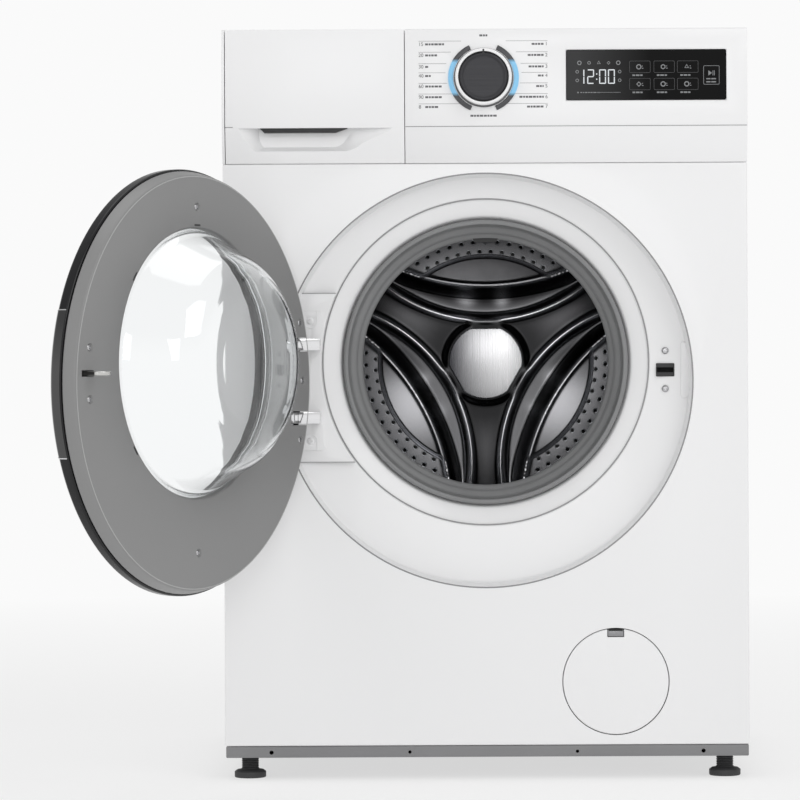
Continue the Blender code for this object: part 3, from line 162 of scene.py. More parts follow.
# ---- materials -------------------------------------------------------------------
def shader_of(mat):
    return mat.node_tree.nodes["Principled BSDF"]


def add_node(tree, kind, inputs=None, links=None):
    """A shader node with some of its inputs set and others linked from sockets."""
    node = tree.nodes.new("ShaderNode" + kind)
    for name, value in (inputs or {}).items():
        node.inputs[name].default_value = value
    for name, socket in (links or {}).items():
        tree.links.new(socket, node.inputs[name])
    return node


def colour_mix(tree, first, second, factor):
    """The socket of a blend from one colour to another."""
    node = tree.nodes.new("ShaderNodeMix")
    node.data_type = "RGBA"
    node.inputs["A"].default_value = (*first, 1)
    node.inputs["B"].default_value = (*second, 1)
    tree.links.new(factor, node.inputs["Factor"])
    return node.outputs["Result"]


def finish(name, colour, roughness, metallic=0.0, coat=0.0, grain=None, wear=None, tone=None):
    """A Principled finish with a fine surface.

    grain is (scale, strength, distance) of the bump, wear is (scale, amount) of uneven
    roughness, and tone is (scale, amount) of uneven colour.
    """
    mat = bpy.data.materials.new(name)
    mat.use_nodes = True
    tree = mat.node_tree
    shader = shader_of(mat)
    settings = {
        "Base Color": (*colour, 1), "Roughness": roughness, "Metallic": metallic,
        "Coat Weight": coat, "Coat Roughness": 0.06,
    }
    for key, value in settings.items():
        shader.inputs[key].default_value = value
    place = {"Vector": add_node(tree, "TexCoord").outputs["Object"]}
    if grain:
        noise = add_node(tree, "TexNoise", {"Scale": grain[0], "Detail": 3}, place)
        bump = add_node(tree, "Bump", {"Strength": grain[1], "Distance": grain[2]},
                        {"Height": noise.outputs["Fac"]})
        tree.links.new(bump.outputs["Normal"], shader.inputs["Normal"])
    if wear:
        noise = add_node(tree, "TexNoise", {"Scale": wear[0]}, place)
        spread = add_node(tree, "MapRange", {"To Min": max(0.0, roughness - wear[1]),
                                             "To Max": roughness + wear[1]},
                          {"Value": noise.outputs["Fac"]})
        tree.links.new(spread.outputs["Result"], shader.inputs["Roughness"])
    if tone:
        noise = add_node(tree, "TexNoise", {"Scale": tone[0]}, place)
        ramp = add_node(tree, "ValToRGB", links={"Fac": noise.outputs["Fac"]})
        low, high = ramp.color_ramp.elements
        low.position, high.position = 0.3, 0.7
        low.color = (*[c * (1 - tone[1]) for c in colour], 1)
        high.color = (*[min(1, c * (1 + tone[1])) for c in colour], 1)
        tree.links.new(ramp.outputs["Color"], shader.inputs["Base Color"])
    return mat


def brushed(name, colour, roughness, direction, lines=900.0, strength=0.25):
    """Metal with fine parallel lines: direction is the axis they run along."""
    mat = finish(name, colour, roughness, 1.0)
    tree = mat.node_tree
    place = add_node(tree, "TexCoord")
    stretch = add_node(tree, "Mapping",
                       {"Scale": tuple(6.0 if a == direction else lines for a in "XYZ")},
                       {"Vector": place.outputs["Object"]})
    noise = add_node(tree, "TexNoise", {"Scale": 1.0, "Detail": 4},
                     {"Vector": stretch.outputs["Vector"]})
    value = noise.outputs["Fac"]
    spread = add_node(tree, "MapRange", {"To Min": roughness * 0.75, "To Max": roughness * 1.35},
                      {"Value": value})
    bump = add_node(tree, "Bump", {"Strength": strength, "Distance": 0.00005}, {"Height": value})
    tree.links.new(spread.outputs["Result"], shader_of(mat).inputs["Roughness"])
    tree.links.new(bump.outputs["Normal"], shader_of(mat).inputs["Normal"])
    return mat


def painted_reflection_metal(name, layer, roughness):
    """Polished metal whose colour is read point by point from a colour layer that holds painted
    reflections and painted shade.
    """
    mat = finish(name, (0.5, 0.5, 0.5), roughness, 1.0, 0.0, (140, 0.03, 0.0003), (60, 0.05))
    kept = add_node(mat.node_tree, "Attribute")
    kept.attribute_name = layer
    mat.node_tree.links.new(kept.outputs["Color"], shader_of(mat).inputs["Base Color"])
    return mat


def split_place(tree):
    """The three coordinates of a point of the object."""
    place = add_node(tree, "TexCoord")
    return add_node(tree, "SeparateXYZ", links={"Vector": place.outputs["Object"]}).outputs


def paint_reflection_across(mat, start, end, first, last):
    """Paints light across a finish: its colour runs from one tone to another from left to right, as
    a painted reflection.
    """
    tree = mat.node_tree
    spread = add_node(tree, "MapRange", {"From Min": ORIGIN.x + start, "From Max": ORIGIN.x + end},
                      {"Value": split_place(tree)["X"]})
    tree.links.new(colour_mix(tree, first, last, spread.outputs["Result"]),
                   shader_of(mat).inputs["Base Color"])


def clear_glass(name):
    mat = finish(name, (0.97, 0.985, 0.99), 0.0)
    shader_of(mat).inputs["Transmission Weight"].default_value = 1.0
    shader_of(mat).inputs["IOR"].default_value = 1.47
    return mat


def lit(name, colour, strength):
    """A surface that glows evenly, such as a clock digit behind its window."""
    mat = finish(name, colour, 0.4)
    shader_of(mat).inputs["Emission Color"].default_value = (*colour, 1)
    shader_of(mat).inputs["Emission Strength"].default_value = strength
    return mat


def dial_glow(name, colour, dark, centre):
    """Light guide that glows at its middle and is dark grey at both ends."""
    mat = finish(name, dark, 0.35)
    tree = mat.node_tree
    offset = tree.nodes.new("ShaderNodeMath")
    offset.operation = "SUBTRACT"
    offset.inputs[1].default_value = centre
    size = tree.nodes.new("ShaderNodeMath")
    size.operation = "ABSOLUTE"
    tree.links.new(split_place(tree)["Z"], offset.inputs[0])
    tree.links.new(offset.outputs[0], size.inputs[0])
    fade = add_node(tree, "MapRange", {"From Min": 0.017, "From Max": 0.021, "To Min": 1.0,
                                       "To Max": 0.0}, {"Value": size.outputs[0]})
    shader = shader_of(mat)
    for start, goal in ((dark, "Base Color"), ((0, 0, 0), "Emission Color")):
        tree.links.new(colour_mix(tree, start, colour, fade.outputs["Result"]), shader.inputs[goal])
    shader.inputs["Emission Strength"].default_value = 0.30
    return mat


LOOKS = {}


def look(name):
    return LOOKS[name]


def make_looks(context):
    paint = context.scene.washer_finish
    white = tuple(paint.white)
    steel = tuple(paint.steel)
    soft_white = tuple(c * 0.97 for c in white)
    table = {
        "enamel": (white, 0.30, 0.0, 0.25, (420, 0.04, 0.0003), (9, 0.05), (3, 0.006)),
        "sheet": (soft_white, 0.38, 0.0, 0.1, (520, 0.06, 0.0003), (7, 0.06), (2.5, 0.008)),
        "moulded white": (white, 0.34, 0.0, 0.1, (1500, 0.05, 0.0002), (11, 0.05), (4, 0.005)),
        "zinc plate": ((0.60, 0.61, 0.62), 0.42, 0.9, 0.0, (60, 0.05, 0.0004), (40, 0.1),
                       (28, 0.12)),
        "base paint": ((0.21, 0.21, 0.215), 0.5, 0.0, 0.0, (700, 0.12, 0.0003), (20, 0.08),
                       (9, 0.06)),
        "foot rubber": ((0.035, 0.035, 0.037), 0.62, 0.0, 0.0, (900, 0.2, 0.0003), (60, 0.1),
                        (50, 0.1)),
        "piano black": (tuple(paint.door_black), 0.18, 0.0, 0.0, (300, 0.01, 0.0002), (14, 0.05),
                        None),
        "handle black": ((0.006, 0.006, 0.0065), 0.07, 0.0, 1.0, None, (18, 0.03), None),
        "window black": ((0.006, 0.006, 0.007), 0.12, 0.0, 0.0, None, (16, 0.03), None),
        "door grey": (tuple(paint.door_grey), 0.42, 0.0, 0.05, (1100, 0.10, 0.0003), (16, 0.06),
                      (5, 0.02)),
        "chrome": ((0.78, 0.78, 0.79), 0.10, 1.0, 0.0, None, (90, 0.05), None),
        "screw steel": ((0.50, 0.50, 0.51), 0.28, 1.0, 0.0, (300, 0.08, 0.0002), (150, 0.1), None),
        "hook nickel": ((0.58, 0.575, 0.56), 0.22, 1.0, 0.0, None, (120, 0.08), None),
        "lock black": ((0.022, 0.022, 0.023), 0.5, 0.0, 0.0, (900, 0.15, 0.0003), (60, 0.1), None),
        "rubber": (tuple(paint.seal_grey), 0.52, 0.0, 0.0, (600, 0.08, 0.0004), (30, 0.08),
                   (14, 0.05)),
        "silver trim": ((0.72, 0.72, 0.73), 0.22, 1.0, 0.0, None, (80, 0.05), None),
        "knob white": (white, 0.20, 0.0, 0.5, None, (30, 0.04), None),
        "print and shadow grey": ((0.12, 0.12, 0.125), 0.5, 0.0, 0.0, (900, 0.1, 0.0001), (60, 0.08), None),
        "edge highlight grey": ((0.40, 0.40, 0.40), 0.35, 0.0, 0.1, (900, 0.1, 0.0002), (40, 0.06), None),
        "seam and shade grey": ((0.30, 0.30, 0.305), 0.5, 0.0, 0.0, (900, 0.1, 0.0001), (60, 0.08), None),
        "print and shade rule": ((0.27, 0.27, 0.275), 0.5, 0.0, 0.0, (900, 0.1, 0.0001), (60, 0.08), None),
        "bin plastic": ((0.56, 0.62, 0.68), 0.35, 0.0, 0.1, (600, 0.05, 0.0003), (22, 0.08),
                        (12, 0.03)),
        "grey plastic": ((0.42, 0.42, 0.43), 0.5, 0.0, 0.0, (700, 0.12, 0.0003), (22, 0.08),
                         (9, 0.05)),
        "tub plastic": ((0.50, 0.51, 0.50), 0.5, 0.0, 0.0, (240, 0.15, 0.0006), (22, 0.1),
                        (18, 0.07)),
        "cast iron": ((0.20, 0.20, 0.205), 0.75, 0.2, 0.0, (140, 0.5, 0.001), (40, 0.1),
                      (30, 0.15)),
        "cast alloy": ((0.50, 0.50, 0.51), 0.5, 0.9, 0.0, (260, 0.3, 0.0006), (60, 0.1), (30, 0.1)),
        "board": ((0.03, 0.17, 0.07), 0.5, 0.0, 0.0, (400, 0.1, 0.0003), (30, 0.1), (40, 0.2)),
        "belt rubber": ((0.02, 0.02, 0.02), 0.7, 0.0, 0.0, (500, 0.3, 0.0004), (60, 0.1), None),
        "filter grey": ((0.26, 0.26, 0.27), 0.5, 0.0, 0.0, (700, 0.12, 0.0003), (40, 0.1), None),
        "lifter": ((0.55, 0.55, 0.56), 0.35, 0.0, 0.1, (300, 0.05, 0.0003), (22, 0.08), (14, 0.03)),
        "pale plastic": ((0.66, 0.66, 0.65), 0.45, 0.0, 0.0, (600, 0.1, 0.0003), (30, 0.08),
                         (14, 0.04)),
        "tab metal": ((0.30, 0.30, 0.31), 0.3, 0.8, 0.0, (400, 0.1, 0.0002), (120, 0.1), None),
    }
    for name, values in table.items():
        LOOKS[name] = finish(name, *values)
    LOOKS["drum sheet"] = brushed("drum sheet", steel, 0.24, "Y", 700, 0.15)
    LOOKS["drum mirror"] = finish("drum mirror", (0.46, 0.47, 0.49), 0.16, 1.0, 0.0,
                                  (90, 0.02, 0.0004), (40, 0.04))
    LOOKS["hub disc"] = brushed("hub disc", (0.66, 0.67, 0.69), 0.26, "Z", 1400, 0.35)
    # the pressed back's colour comes from painted reflections and painted shade kept in its colour
    # layer
    LOOKS["pressed steel with painted reflections"] = painted_reflection_metal("pressed steel with painted reflections", "painted_reflection", 0.20)
    # painted reflection: the hub disc runs from dark at the left to bright at the right
    paint_reflection_across(LOOKS["hub disc"], -0.042, 0.030, (0.10, 0.10, 0.11), (0.80, 0.80, 0.81))
    LOOKS["brushed steel"] = brushed("brushed steel", (0.55, 0.56, 0.57), 0.3, "Z", 800, 0.3)
    LOOKS["knob dark"] = brushed("knob dark", (0.045, 0.045, 0.048), 0.34, "X", 1500, 0.3)
    # painted reflection on the display glass: lighter at the left, fading to black towards the
    # right
    window = local("display_window")[0].x
    paint_reflection_across(LOOKS["window black"], window + 0.012, window + 0.095, (0.042, 0.042, 0.043),
                 (0.0015, 0.0015, 0.0016))
    for name, level in (("window black", 0.05), ("piano black", 0.3)):
        shader_of(LOOKS[name]).inputs["Specular IOR Level"].default_value = level
    LOOKS["glass"] = clear_glass("glass")
    LOOKS["digit light"] = lit("digit light", (0.50, 0.52, 0.54), 0.5)
    LOOKS["key light"] = lit("key light", (0.17, 0.175, 0.18), 0.25)
    LOOKS["dim print"] = lit("dim print", (0.045, 0.046, 0.048), 0.2)
    LOOKS["dial glow"] = dial_glow("dial glow", tuple(paint.glow), (0.06, 0.06, 0.065), KNOB.z)


# ---- building -------------------------------------------------------------------
def rounded(points, cut, steps=4, closed=True):
    """The same outline with every corner replaced by a short curve."""
    result = []
    count = len(points)
    for i, point in enumerate(points):
        here = Vector(point)
        if not closed and i in (0, count - 1):
            result.append(tuple(here))
            continue
        before = Vector(points[i - 1]) - here
        after = Vector(points[(i + 1) % count]) - here
        reach = min(cut, before.length * 0.45, after.length * 0.45)
        if reach < 1e-6:
            result.append(tuple(here))
            continue
        start = here + before.normalized() * reach
        end = here + after.normalized() * reach
        for k in range(steps + 1):
            t = k / steps
            spot = start * (1 - t) ** 2 + here * 2 * t * (1 - t) + end * t ** 2
            result.append(tuple(spot))
    return result


def set_in(points, depth):
    """A line moved sideways by one depth along its whole length."""
    moved = []
    for i, point in enumerate(points):
        before = Vector(points[max(i - 1, 0)])
        after = Vector(points[min(i + 1, len(points) - 1)])
        along = (after - before).normalized()
        spot = Vector(point) + Vector((-along.y, along.x)) * depth
        moved.append((max(spot.x, 0.0), spot.y))
    return moved


def arc(cx, cz, radius, start, end, steps):
    points = []
    for i in range(steps + 1):
        a = math.radians(start + (end - start) * i / steps)
        points.append((cx + radius * math.cos(a), cz + radius * math.sin(a)))
    return points


def tidy_up(bm, dist=1e-6):
    bmesh.ops.remove_doubles(bm, verts=bm.verts, dist=dist)
    bmesh.ops.dissolve_degenerate(bm, edges=bm.edges, dist=dist)
    bmesh.ops.recalc_face_normals(bm, faces=bm.faces)
    return bm


def spun(profile, centre, steps=96, closed=True, axis="Y"):
    """A profile of (radius, height) turned a full circle about Y or Z."""
    bm = bmesh.new()
    verts = [bm.verts.new((r, 0, h)) for r, h in profile]
    pairs = list(zip(verts, verts[1:]))
    if closed:
        pairs.append((verts[-1], verts[0]))
    edges = [bm.edges.new(pair) for pair in pairs]
    bmesh.ops.spin(bm, geom=verts + edges, cent=(0, 0, 0), axis=(0, 0, 1), dvec=(0, 0, 0),
                   angle=math.tau, steps=steps, use_merge=True, use_duplicate=False)
    tidy_up(bm)
    turn = Matrix.Rotation(-math.pi / 2, 4, "X") if axis == "Y" else Matrix.Identity(4)
    bm.transform(Matrix.Translation(centre) @ turn)
    return bm


def lofted(loops, steps, closed=False):
    """Circles of (radius, centre z, y) joined one to the next."""
    bm = spun([(r, y) for r, _, y in loops], (0, 0, 0), steps, closed)
    for v in bm.verts:
        radius = math.hypot(v.co.x, v.co.z)
        nearest = min(loops, key=lambda c: (c[0] - radius) ** 2 + (c[2] - v.co.y) ** 2)
        v.co.z += nearest[1]
    return bm


def prism(points, low, high, axis="Y", bevel=0.0, segments=2):
    """An outline of (x, z), (y, z) or (x, y) points made thick along Y, X or Z."""
    place = {
        "Y": lambda u, v, t: (u, t, v), "X": lambda u, v, t: (t, u, v), "Z": lambda u, v,
        t: (u, v, t),
    }[axis]
    bm = bmesh.new()
    face = bm.faces.new([bm.verts.new(place(u, v, low)) for u, v in points])
    made = bmesh.ops.extrude_face_region(bm, geom=[face])["geom"]
    verts = [g for g in made if isinstance(g, bmesh.types.BMVert)]
    shift = Vector(place(0, 0, high - low)) if axis != "Y" else Vector((0, high - low, 0))
    bmesh.ops.translate(bm, verts=verts, vec=shift)
    bmesh.ops.recalc_face_normals(bm, faces=bm.faces)
    if bevel:
        soften(bm, bevel, segments)
    return bm


def soften(bm, width, segments=2, angle=30):
    """Rounds every edge that is sharper than an angle."""
    limit = math.radians(angle)
    sharp = [e for e in bm.edges if len(e.link_faces) == 2 and e.calc_face_angle(0) > limit]
    bmesh.ops.bevel(bm, geom=sharp, offset=width, offset_type="OFFSET", segments=segments,
                    profile=0.5, affect="EDGES", clamp_overlap=True, material=-1)
    return bm


def taper(front, back, y0, y1):
    """A solid from one outline to another with as many corners, y0 to y1."""
    bm = bmesh.new()
    face = bm.faces.new([bm.verts.new((u, y0, v)) for u, v in front])
    corners = {v: back[i] for i, v in enumerate(face.verts)}
    near = {tuple(v.co): goal for v, goal in corners.items()}
    made = bmesh.ops.extrude_face_region(bm, geom=[face])["geom"]
    for v in [g for g in made if isinstance(g, bmesh.types.BMVert)]:
        u, w = near[tuple(v.co)]
        v.co = (u, y1, w)
    bmesh.ops.recalc_face_normals(bm, faces=bm.faces)
    return bm


def plug(radius, low, high, x, z, steps):
    """A round bar along Y."""
    return spun([(0, low), (radius, low), (radius, high), (0, high)], (x, 0, z), steps,
                closed=False)


def band_ring(inner, outer, y, z, thick=0.0004, steps=160):
    """A thin flat ring that marks a seam, a painted shade line or a painted highlight line."""
    return spun([(inner, y), (outer, y), (outer, y + thick), (inner, y + thick)], (0, 0, z), steps)


def block(x, y, z, bevel=0.0, segments=2):
    bm = bmesh.new()
    bmesh.ops.create_cube(bm, size=1)
    size = Matrix.Diagonal((x[1] - x[0], y[1] - y[0], z[1] - z[0], 1))
    centre = Vector(((x[0] + x[1]) / 2, (y[0] + y[1]) / 2, (z[0] + z[1]) / 2))
    bm.transform(Matrix.Translation(centre) @ size)
    if bevel:
        soften(bm, bevel, segments)
    return bm


def joined(*meshes):
    """Several bmeshes as one."""
    whole = bmesh.new()
    for bm in meshes:
        mesh = bpy.data.meshes.new("loose")
        bm.to_mesh(mesh)
        whole.from_mesh(mesh)
        bm.free()
        bpy.data.meshes.remove(mesh)
    return whole


def shape_of(node):
    """A merged copy of a frame node, in the cabinet's frame, with flat faces whole."""
    bm = bmesh.new()
    bm.from_mesh(frame["nodes"][node].data)
    bm.transform(Matrix.Translation(-ORIGIN))
    bmesh.ops.remove_doubles(bm, verts=bm.verts, dist=1e-5)
    bmesh.ops.dissolve_limit(bm, angle_limit=math.radians(1.0), verts=bm.verts, edges=bm.edges)
    bmesh.ops.recalc_face_normals(bm, faces=bm.faces)
    return bm


def cut_by(bm, *cutters):
    """Takes closed shapes away from a closed shape."""
    body = as_object("cut body", bm)
    for cutter in cutters:
        tool = as_object("cutter", cutter)
        mod = body.modifiers.new("cut", "BOOLEAN")
        mod.operation = "DIFFERENCE"
        mod.solver = "EXACT"
        mod.object = tool
        graph = bpy.context.evaluated_depsgraph_get()
        mesh = bpy.data.meshes.new_from_object(body.evaluated_get(graph))
        body.modifiers.clear()
        body.data = mesh
        bpy.data.objects.remove(tool, do_unlink=True)
    result = bmesh.new()
    result.from_mesh(body.data)
    bpy.data.objects.remove(body, do_unlink=True)
    return result


def as_object(name, bm):
    mesh = bpy.data.meshes.new(name)
    bm.to_mesh(mesh)
    bm.free()
    ob = bpy.data.objects.new(name, mesh)
    bpy.context.scene.collection.objects.link(ob)
    return ob


def piece(name, bm, finish_name, body, replaces=(), door=False, angle=32, smooth=True):
    """Places a finished mesh on the frame, riding on its body."""
    if door:
        bm.transform(SWING)
    bm.transform(Matrix.Translation(ORIGIN))
    ob = as_object(name, bm)
    ob.data.materials.append(look(finish_name))
    if smooth:
        ob.data.shade_smooth()
        ob.data.set_sharp_from_angle(angle=math.radians(angle))
    if replaces:
        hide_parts(*replaces)
    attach(ob, body)
    return ob


def dress(finish_name, *nodes):
    """Gives frame nodes a finish."""
    for name in nodes:
        mesh = frame["nodes"][name].data
        mesh.materials.clear()
        mesh.materials.append(look(finish_name))


def refined(node, finish_name, body, width=0.0012, segments=2, name=None, angle=30):
    """Stands a softened copy of a node in its place."""
    bm = soften(shape_of(node), width, segments, angle)
    return piece(name or node + "_skin", bm, finish_name, body, (node,))


# ---- operators ------------------------------------------------------------------
class WASHER_OT_cabinet(Operator):
    """Sides, back, top and base of the cabinet, with its feet"""

    bl_idname = "washer.cabinet"
    bl_label = "Cabinet"
    bl_options = {"REGISTER", "UNDO"}

    def execute(self, context):
        refined("cabinet_wrap", "sheet", "cabinet", 0.0006, 1)
        refined("rear_cover", "zinc plate", "cabinet", 0.003, 3)
        refined("top_cover", "sheet", "cabinet", 0.0004, 1, angle=50)
        self.base()
        self.feet()
        self.screws()
        return {"FINISHED"}

    def base(self):
        low, high = local("base_pan")
        wall = 0.002
        pan = block((low.x, high.x), (low.y, high.y), (low.z, high.z), 0.0012)
        hollow = block((low.x + wall, high.x - wall), (low.y + wall, high.y - wall),
                       (low.z + wall, high.z + 0.1))
        middle_z = (low.z + high.z) / 2 - 0.0005
        holes = [hollow]
        for x, radius in ((-0.245, 0.0024), (0.245, 0.0024), (-0.088, 0.0019), (0.102, 0.0019)):
            holes.append(plug(radius, low.y - 0.01, low.y + 0.01, x, middle_z, 20))
        piece("base_skirt", cut_by(pan, *holes), "base paint", "cabinet",
              ("base_pan",))

    def feet(self):
        for corner in ("front_left", "front_right", "back_left", "back_right"):
            node = "foot_" + corner
            low, high = local(node)
            centre = (low + high) / 2
            radius = (high.x - low.x) / 2
            disc = 0.009
            stem = 0.0098
            profile = rounded([
                (0, 0), (radius - 0.0008, 0), (radius, 0.0012), (radius, disc - 0.0022),
                (radius - 0.003, disc), (stem + 0.0022, disc), (stem, disc + 0.0015),
            ], 0.0006, 2, closed=False)
            top = high.z
            z = disc + 0.002
            while z < top - 0.002:
                profile += [(stem, z), (stem - 0.0009, z + 0.0007), (stem, z + 0.0014)]
                z += 0.0020
            profile += [(stem, top), (0, top)]
            bm = spun(profile, (centre.x, centre.y, 0), 48, closed=False, axis="Z")
            piece(node + "_moulding", bm, "foot rubber", node, (node,))

    def screws(self):
        low, high = local("rear_cover")
        spots = []
        for i in range(3):
            z = low.z + 0.012 + (high.z - low.z - 0.024) * i / 2
            spots += [(low.x + 0.010, z), (high.x - 0.010, z)]
        base = low.y + 0.0015
        for i, (x, z) in enumerate(spots):
            head = spun(rounded([(0, base + 0.0026), (0.0042, base + 0.0018), (0.0048, base)],
                                0.001, 3, closed=False) + [(0, base)], (x, 0, z), 24, closed=False)
            piece("cover_screw_%d" % (i + 1), head, "screw steel", "cabinet")


class WASHER_OT_front(Operator):
    """Front sheet, pressed dish, hinge pad, lock and its screws"""

    bl_idname = "washer.front"
    bl_label = "Front panel"
    bl_options = {"REGISTER", "UNDO"}

    recess_radius = 0.2338
    ring_radius = 0.1858
    mouth_radius = 0.1632
    pad_top = 0.552
    pad_foot = 0.3595

    def execute(self, context):
        size = context.scene.washer_size
        self.sheet(size)
        self.dish(size)
        self.pad(size)
        self.lock(size)
        return {"FINISHED"}

    def sheet(self, size):
        low, high = local("front_panel")
        flange = 0.014
        wall = 0.0015
        panel = block((-HALF_W, HALF_W), (0, flange), (low.z, high.z), 0.0022, 3)
        hollow = block((-HALF_W + wall, HALF_W - wall), (wall, flange + 0.01),
                       (low.z + wall, high.z - wall))
        radius = self.recess_radius + 0.0010
        hole = plug(radius, -0.01, 0.03, 0, DOOR_Z, size.ring_steps)
        flap = (local("filter_flap")[1].x - local("filter_flap")[0].x) / 2 + 0.0008
        opening = plug(flap, -0.01, 0.01, FLAP.x, FLAP.z, 96)
        sheet = cut_by(panel, hollow, hole, opening)
        piece("front_sheet", sheet, "enamel", "cabinet", ("front_panel",), angle=25)

    def dish(self, size):
        depth = size.recess_depth
        outer = self.recess_radius
        ring = self.ring_radius
        mouth = self.mouth_radius
        section = rounded([
            (outer + 0.0030, DOOR_Z, 0.0016), (outer + 0.0012, DOOR_Z, 0.0002),
            (outer - 0.0003, DOOR_Z, 0.0016), (outer - 0.0023, DOOR_Z, depth),
            (ring + 0.0012, AXIS_Z, depth + 0.0046), (ring, AXIS_Z, depth + 0.0064),
            (ring - 0.0012, AXIS_Z, depth + 0.0062), (mouth + 0.003, AXIS_Z, depth + 0.0150),
            (mouth, AXIS_Z, depth + 0.022),
        ], 0.0022, 3, closed=False)
        behind = set_in([(r, y) for r, _, y in section], -0.0012)
        section += [(r, z, y) for (r, y), (_, z, _) in zip(behind, section)][::-1]
        dish = lofted(section, size.ring_steps, closed=True)
        left, right, half = self.lock_opening(size)
        opening = block((left - 0.001, right + 0.001), (depth - 0.01, depth + 0.02),
                        (LOCK_HOOK_Z - half, LOCK_HOOK_Z + half))
        piece("door_dish", cut_by(dish, opening), "enamel", "cabinet", angle=40)
        # dark ring at the recess edge: a real gap between sheet and dish, darkened as painted shade
        # of the recess wall
        edge = band_ring(outer + 0.0003, outer + 0.0019, -0.0001, DOOR_Z, 0.0012)
        piece("dish_gap_and_shade", edge, "print and shade rule", "cabinet")
        # painted shade: a grey ring standing for the shade in the pressed crease
        crease = band_ring(ring - 0.0006, ring + 0.0008, depth + 0.0044, AXIS_Z, 0.003)
        piece("dish_crease_shade", crease, "seam and shade grey", "cabinet")
        # grey lines at the pad's top and bottom edges: the seam, with painted shade along it
        for name, z in (("upper", self.pad_top), ("lower", self.pad_foot)):
            far = math.sqrt(outer ** 2 - (z - DOOR_Z) ** 2) - 0.0015
            close = math.sqrt(ring ** 2 - (z - AXIS_Z) ** 2) + 0.0022
            line = block((-far, -close), (depth - 0.0022, depth + 0.002), (z - 0.0004, z + 0.0004))
            piece("pad_seam_and_shade_" + name, line, "seam and shade grey", "cabinet")

    def pad(self, size):
        low = self.pad_foot
        high = self.pad_top
        outer = self.recess_radius - 0.0008
        inner = self.ring_radius + 0.0016
        start = 180 - math.degrees(math.asin((high - DOOR_Z) / outer))
        end = 180 + math.degrees(math.asin((DOOR_Z - low) / outer))
        back = 180 + math.degrees(math.asin((AXIS_Z - low) / inner))
        to = 180 - math.degrees(math.asin((high - AXIS_Z) / inner))
        points = arc(0, DOOR_Z, outer, start, end, 24) + arc(0, AXIS_Z, inner, back, to, 24)
        y = size.recess_depth - 0.002
        piece("hinge_pad", prism(points, y, y + 0.006, bevel=0.0008), "enamel", "cabinet")
        notch = arc(0.2262, DOOR_Z + 0.0395, 0.004, 90, 180, 6)
        notch += arc(0.2262, DOOR_Z - 0.0175, 0.004, 180, 270, 6)
        notch += arc(0, DOOR_Z, outer, -4.5, 10.0, 12)
        piece("grip_notch", prism(notch, y - 0.0005, y + 0.006, bevel=0.0009), "enamel", "cabinet")

    def lock_opening(self, size):
        """Left, right and half height of the way in for the hook of the closed door."""
        hook = shape_of("latch_hook")
        hook.transform(SWING.inverted())
        deep = [v.co for v in hook.verts if v.co.y > size.recess_depth - 0.004]
        half = max(abs(c.z - LOCK_HOOK_Z) for c in deep) + 0.0008
        return min(c.x for c in deep) - 0.0014, max(c.x for c in deep) + 0.0010, half

    def lock(self, size):
        """Black mouth of the lock, a darker well in it, and two round screws."""
        y = size.recess_depth + 0.0006
        x = LOCK.x - 0.0003
        z = LOCK_HOOK_Z
        rim = block((x - 0.0105, x + 0.0105), (y, y + 0.006), (z - 0.0076, z + 0.0076), 0.0009)
        left, right, half = self.lock_opening(size)
        well = block((left, right), (y - 0.01, y + 0.01), (z - half, z + half))
        piece("lock_mouth", cut_by(rim, well), "lock black", "cabinet", angle=20)
        dress("lock black", "door_lock")
        for i, dz in enumerate((0.022, -0.0215)):
            head = screw_head((x, y + 0.0006, z + dz), 0.0040)
            piece("lock_screw_%d" % (i + 1), head, "screw steel", "cabinet")


def screw_head(place, radius, cross=0.55):
    """A low domed screw head with a cross recess, facing the front."""
    x, y, z = place
    dome = spun(rounded([(0, y - radius * 0.45), (radius * 0.7, y - radius * 0.36), (radius, y)],
                        radius * 0.3, 3, closed=False) + [(radius, y + 0.003), (0, y + 0.003)],
                (x, 0, z), 28, closed=False)
    arm = radius * cross
    width = radius * 0.14
    top = y - radius
    deep = y - radius * 0.12
    return cut_by(dome, block((x - arm, x + arm), (top, deep), (z - width, z + width)),
                  block((x - width, x + width), (top, deep), (z - arm, z + arm)))


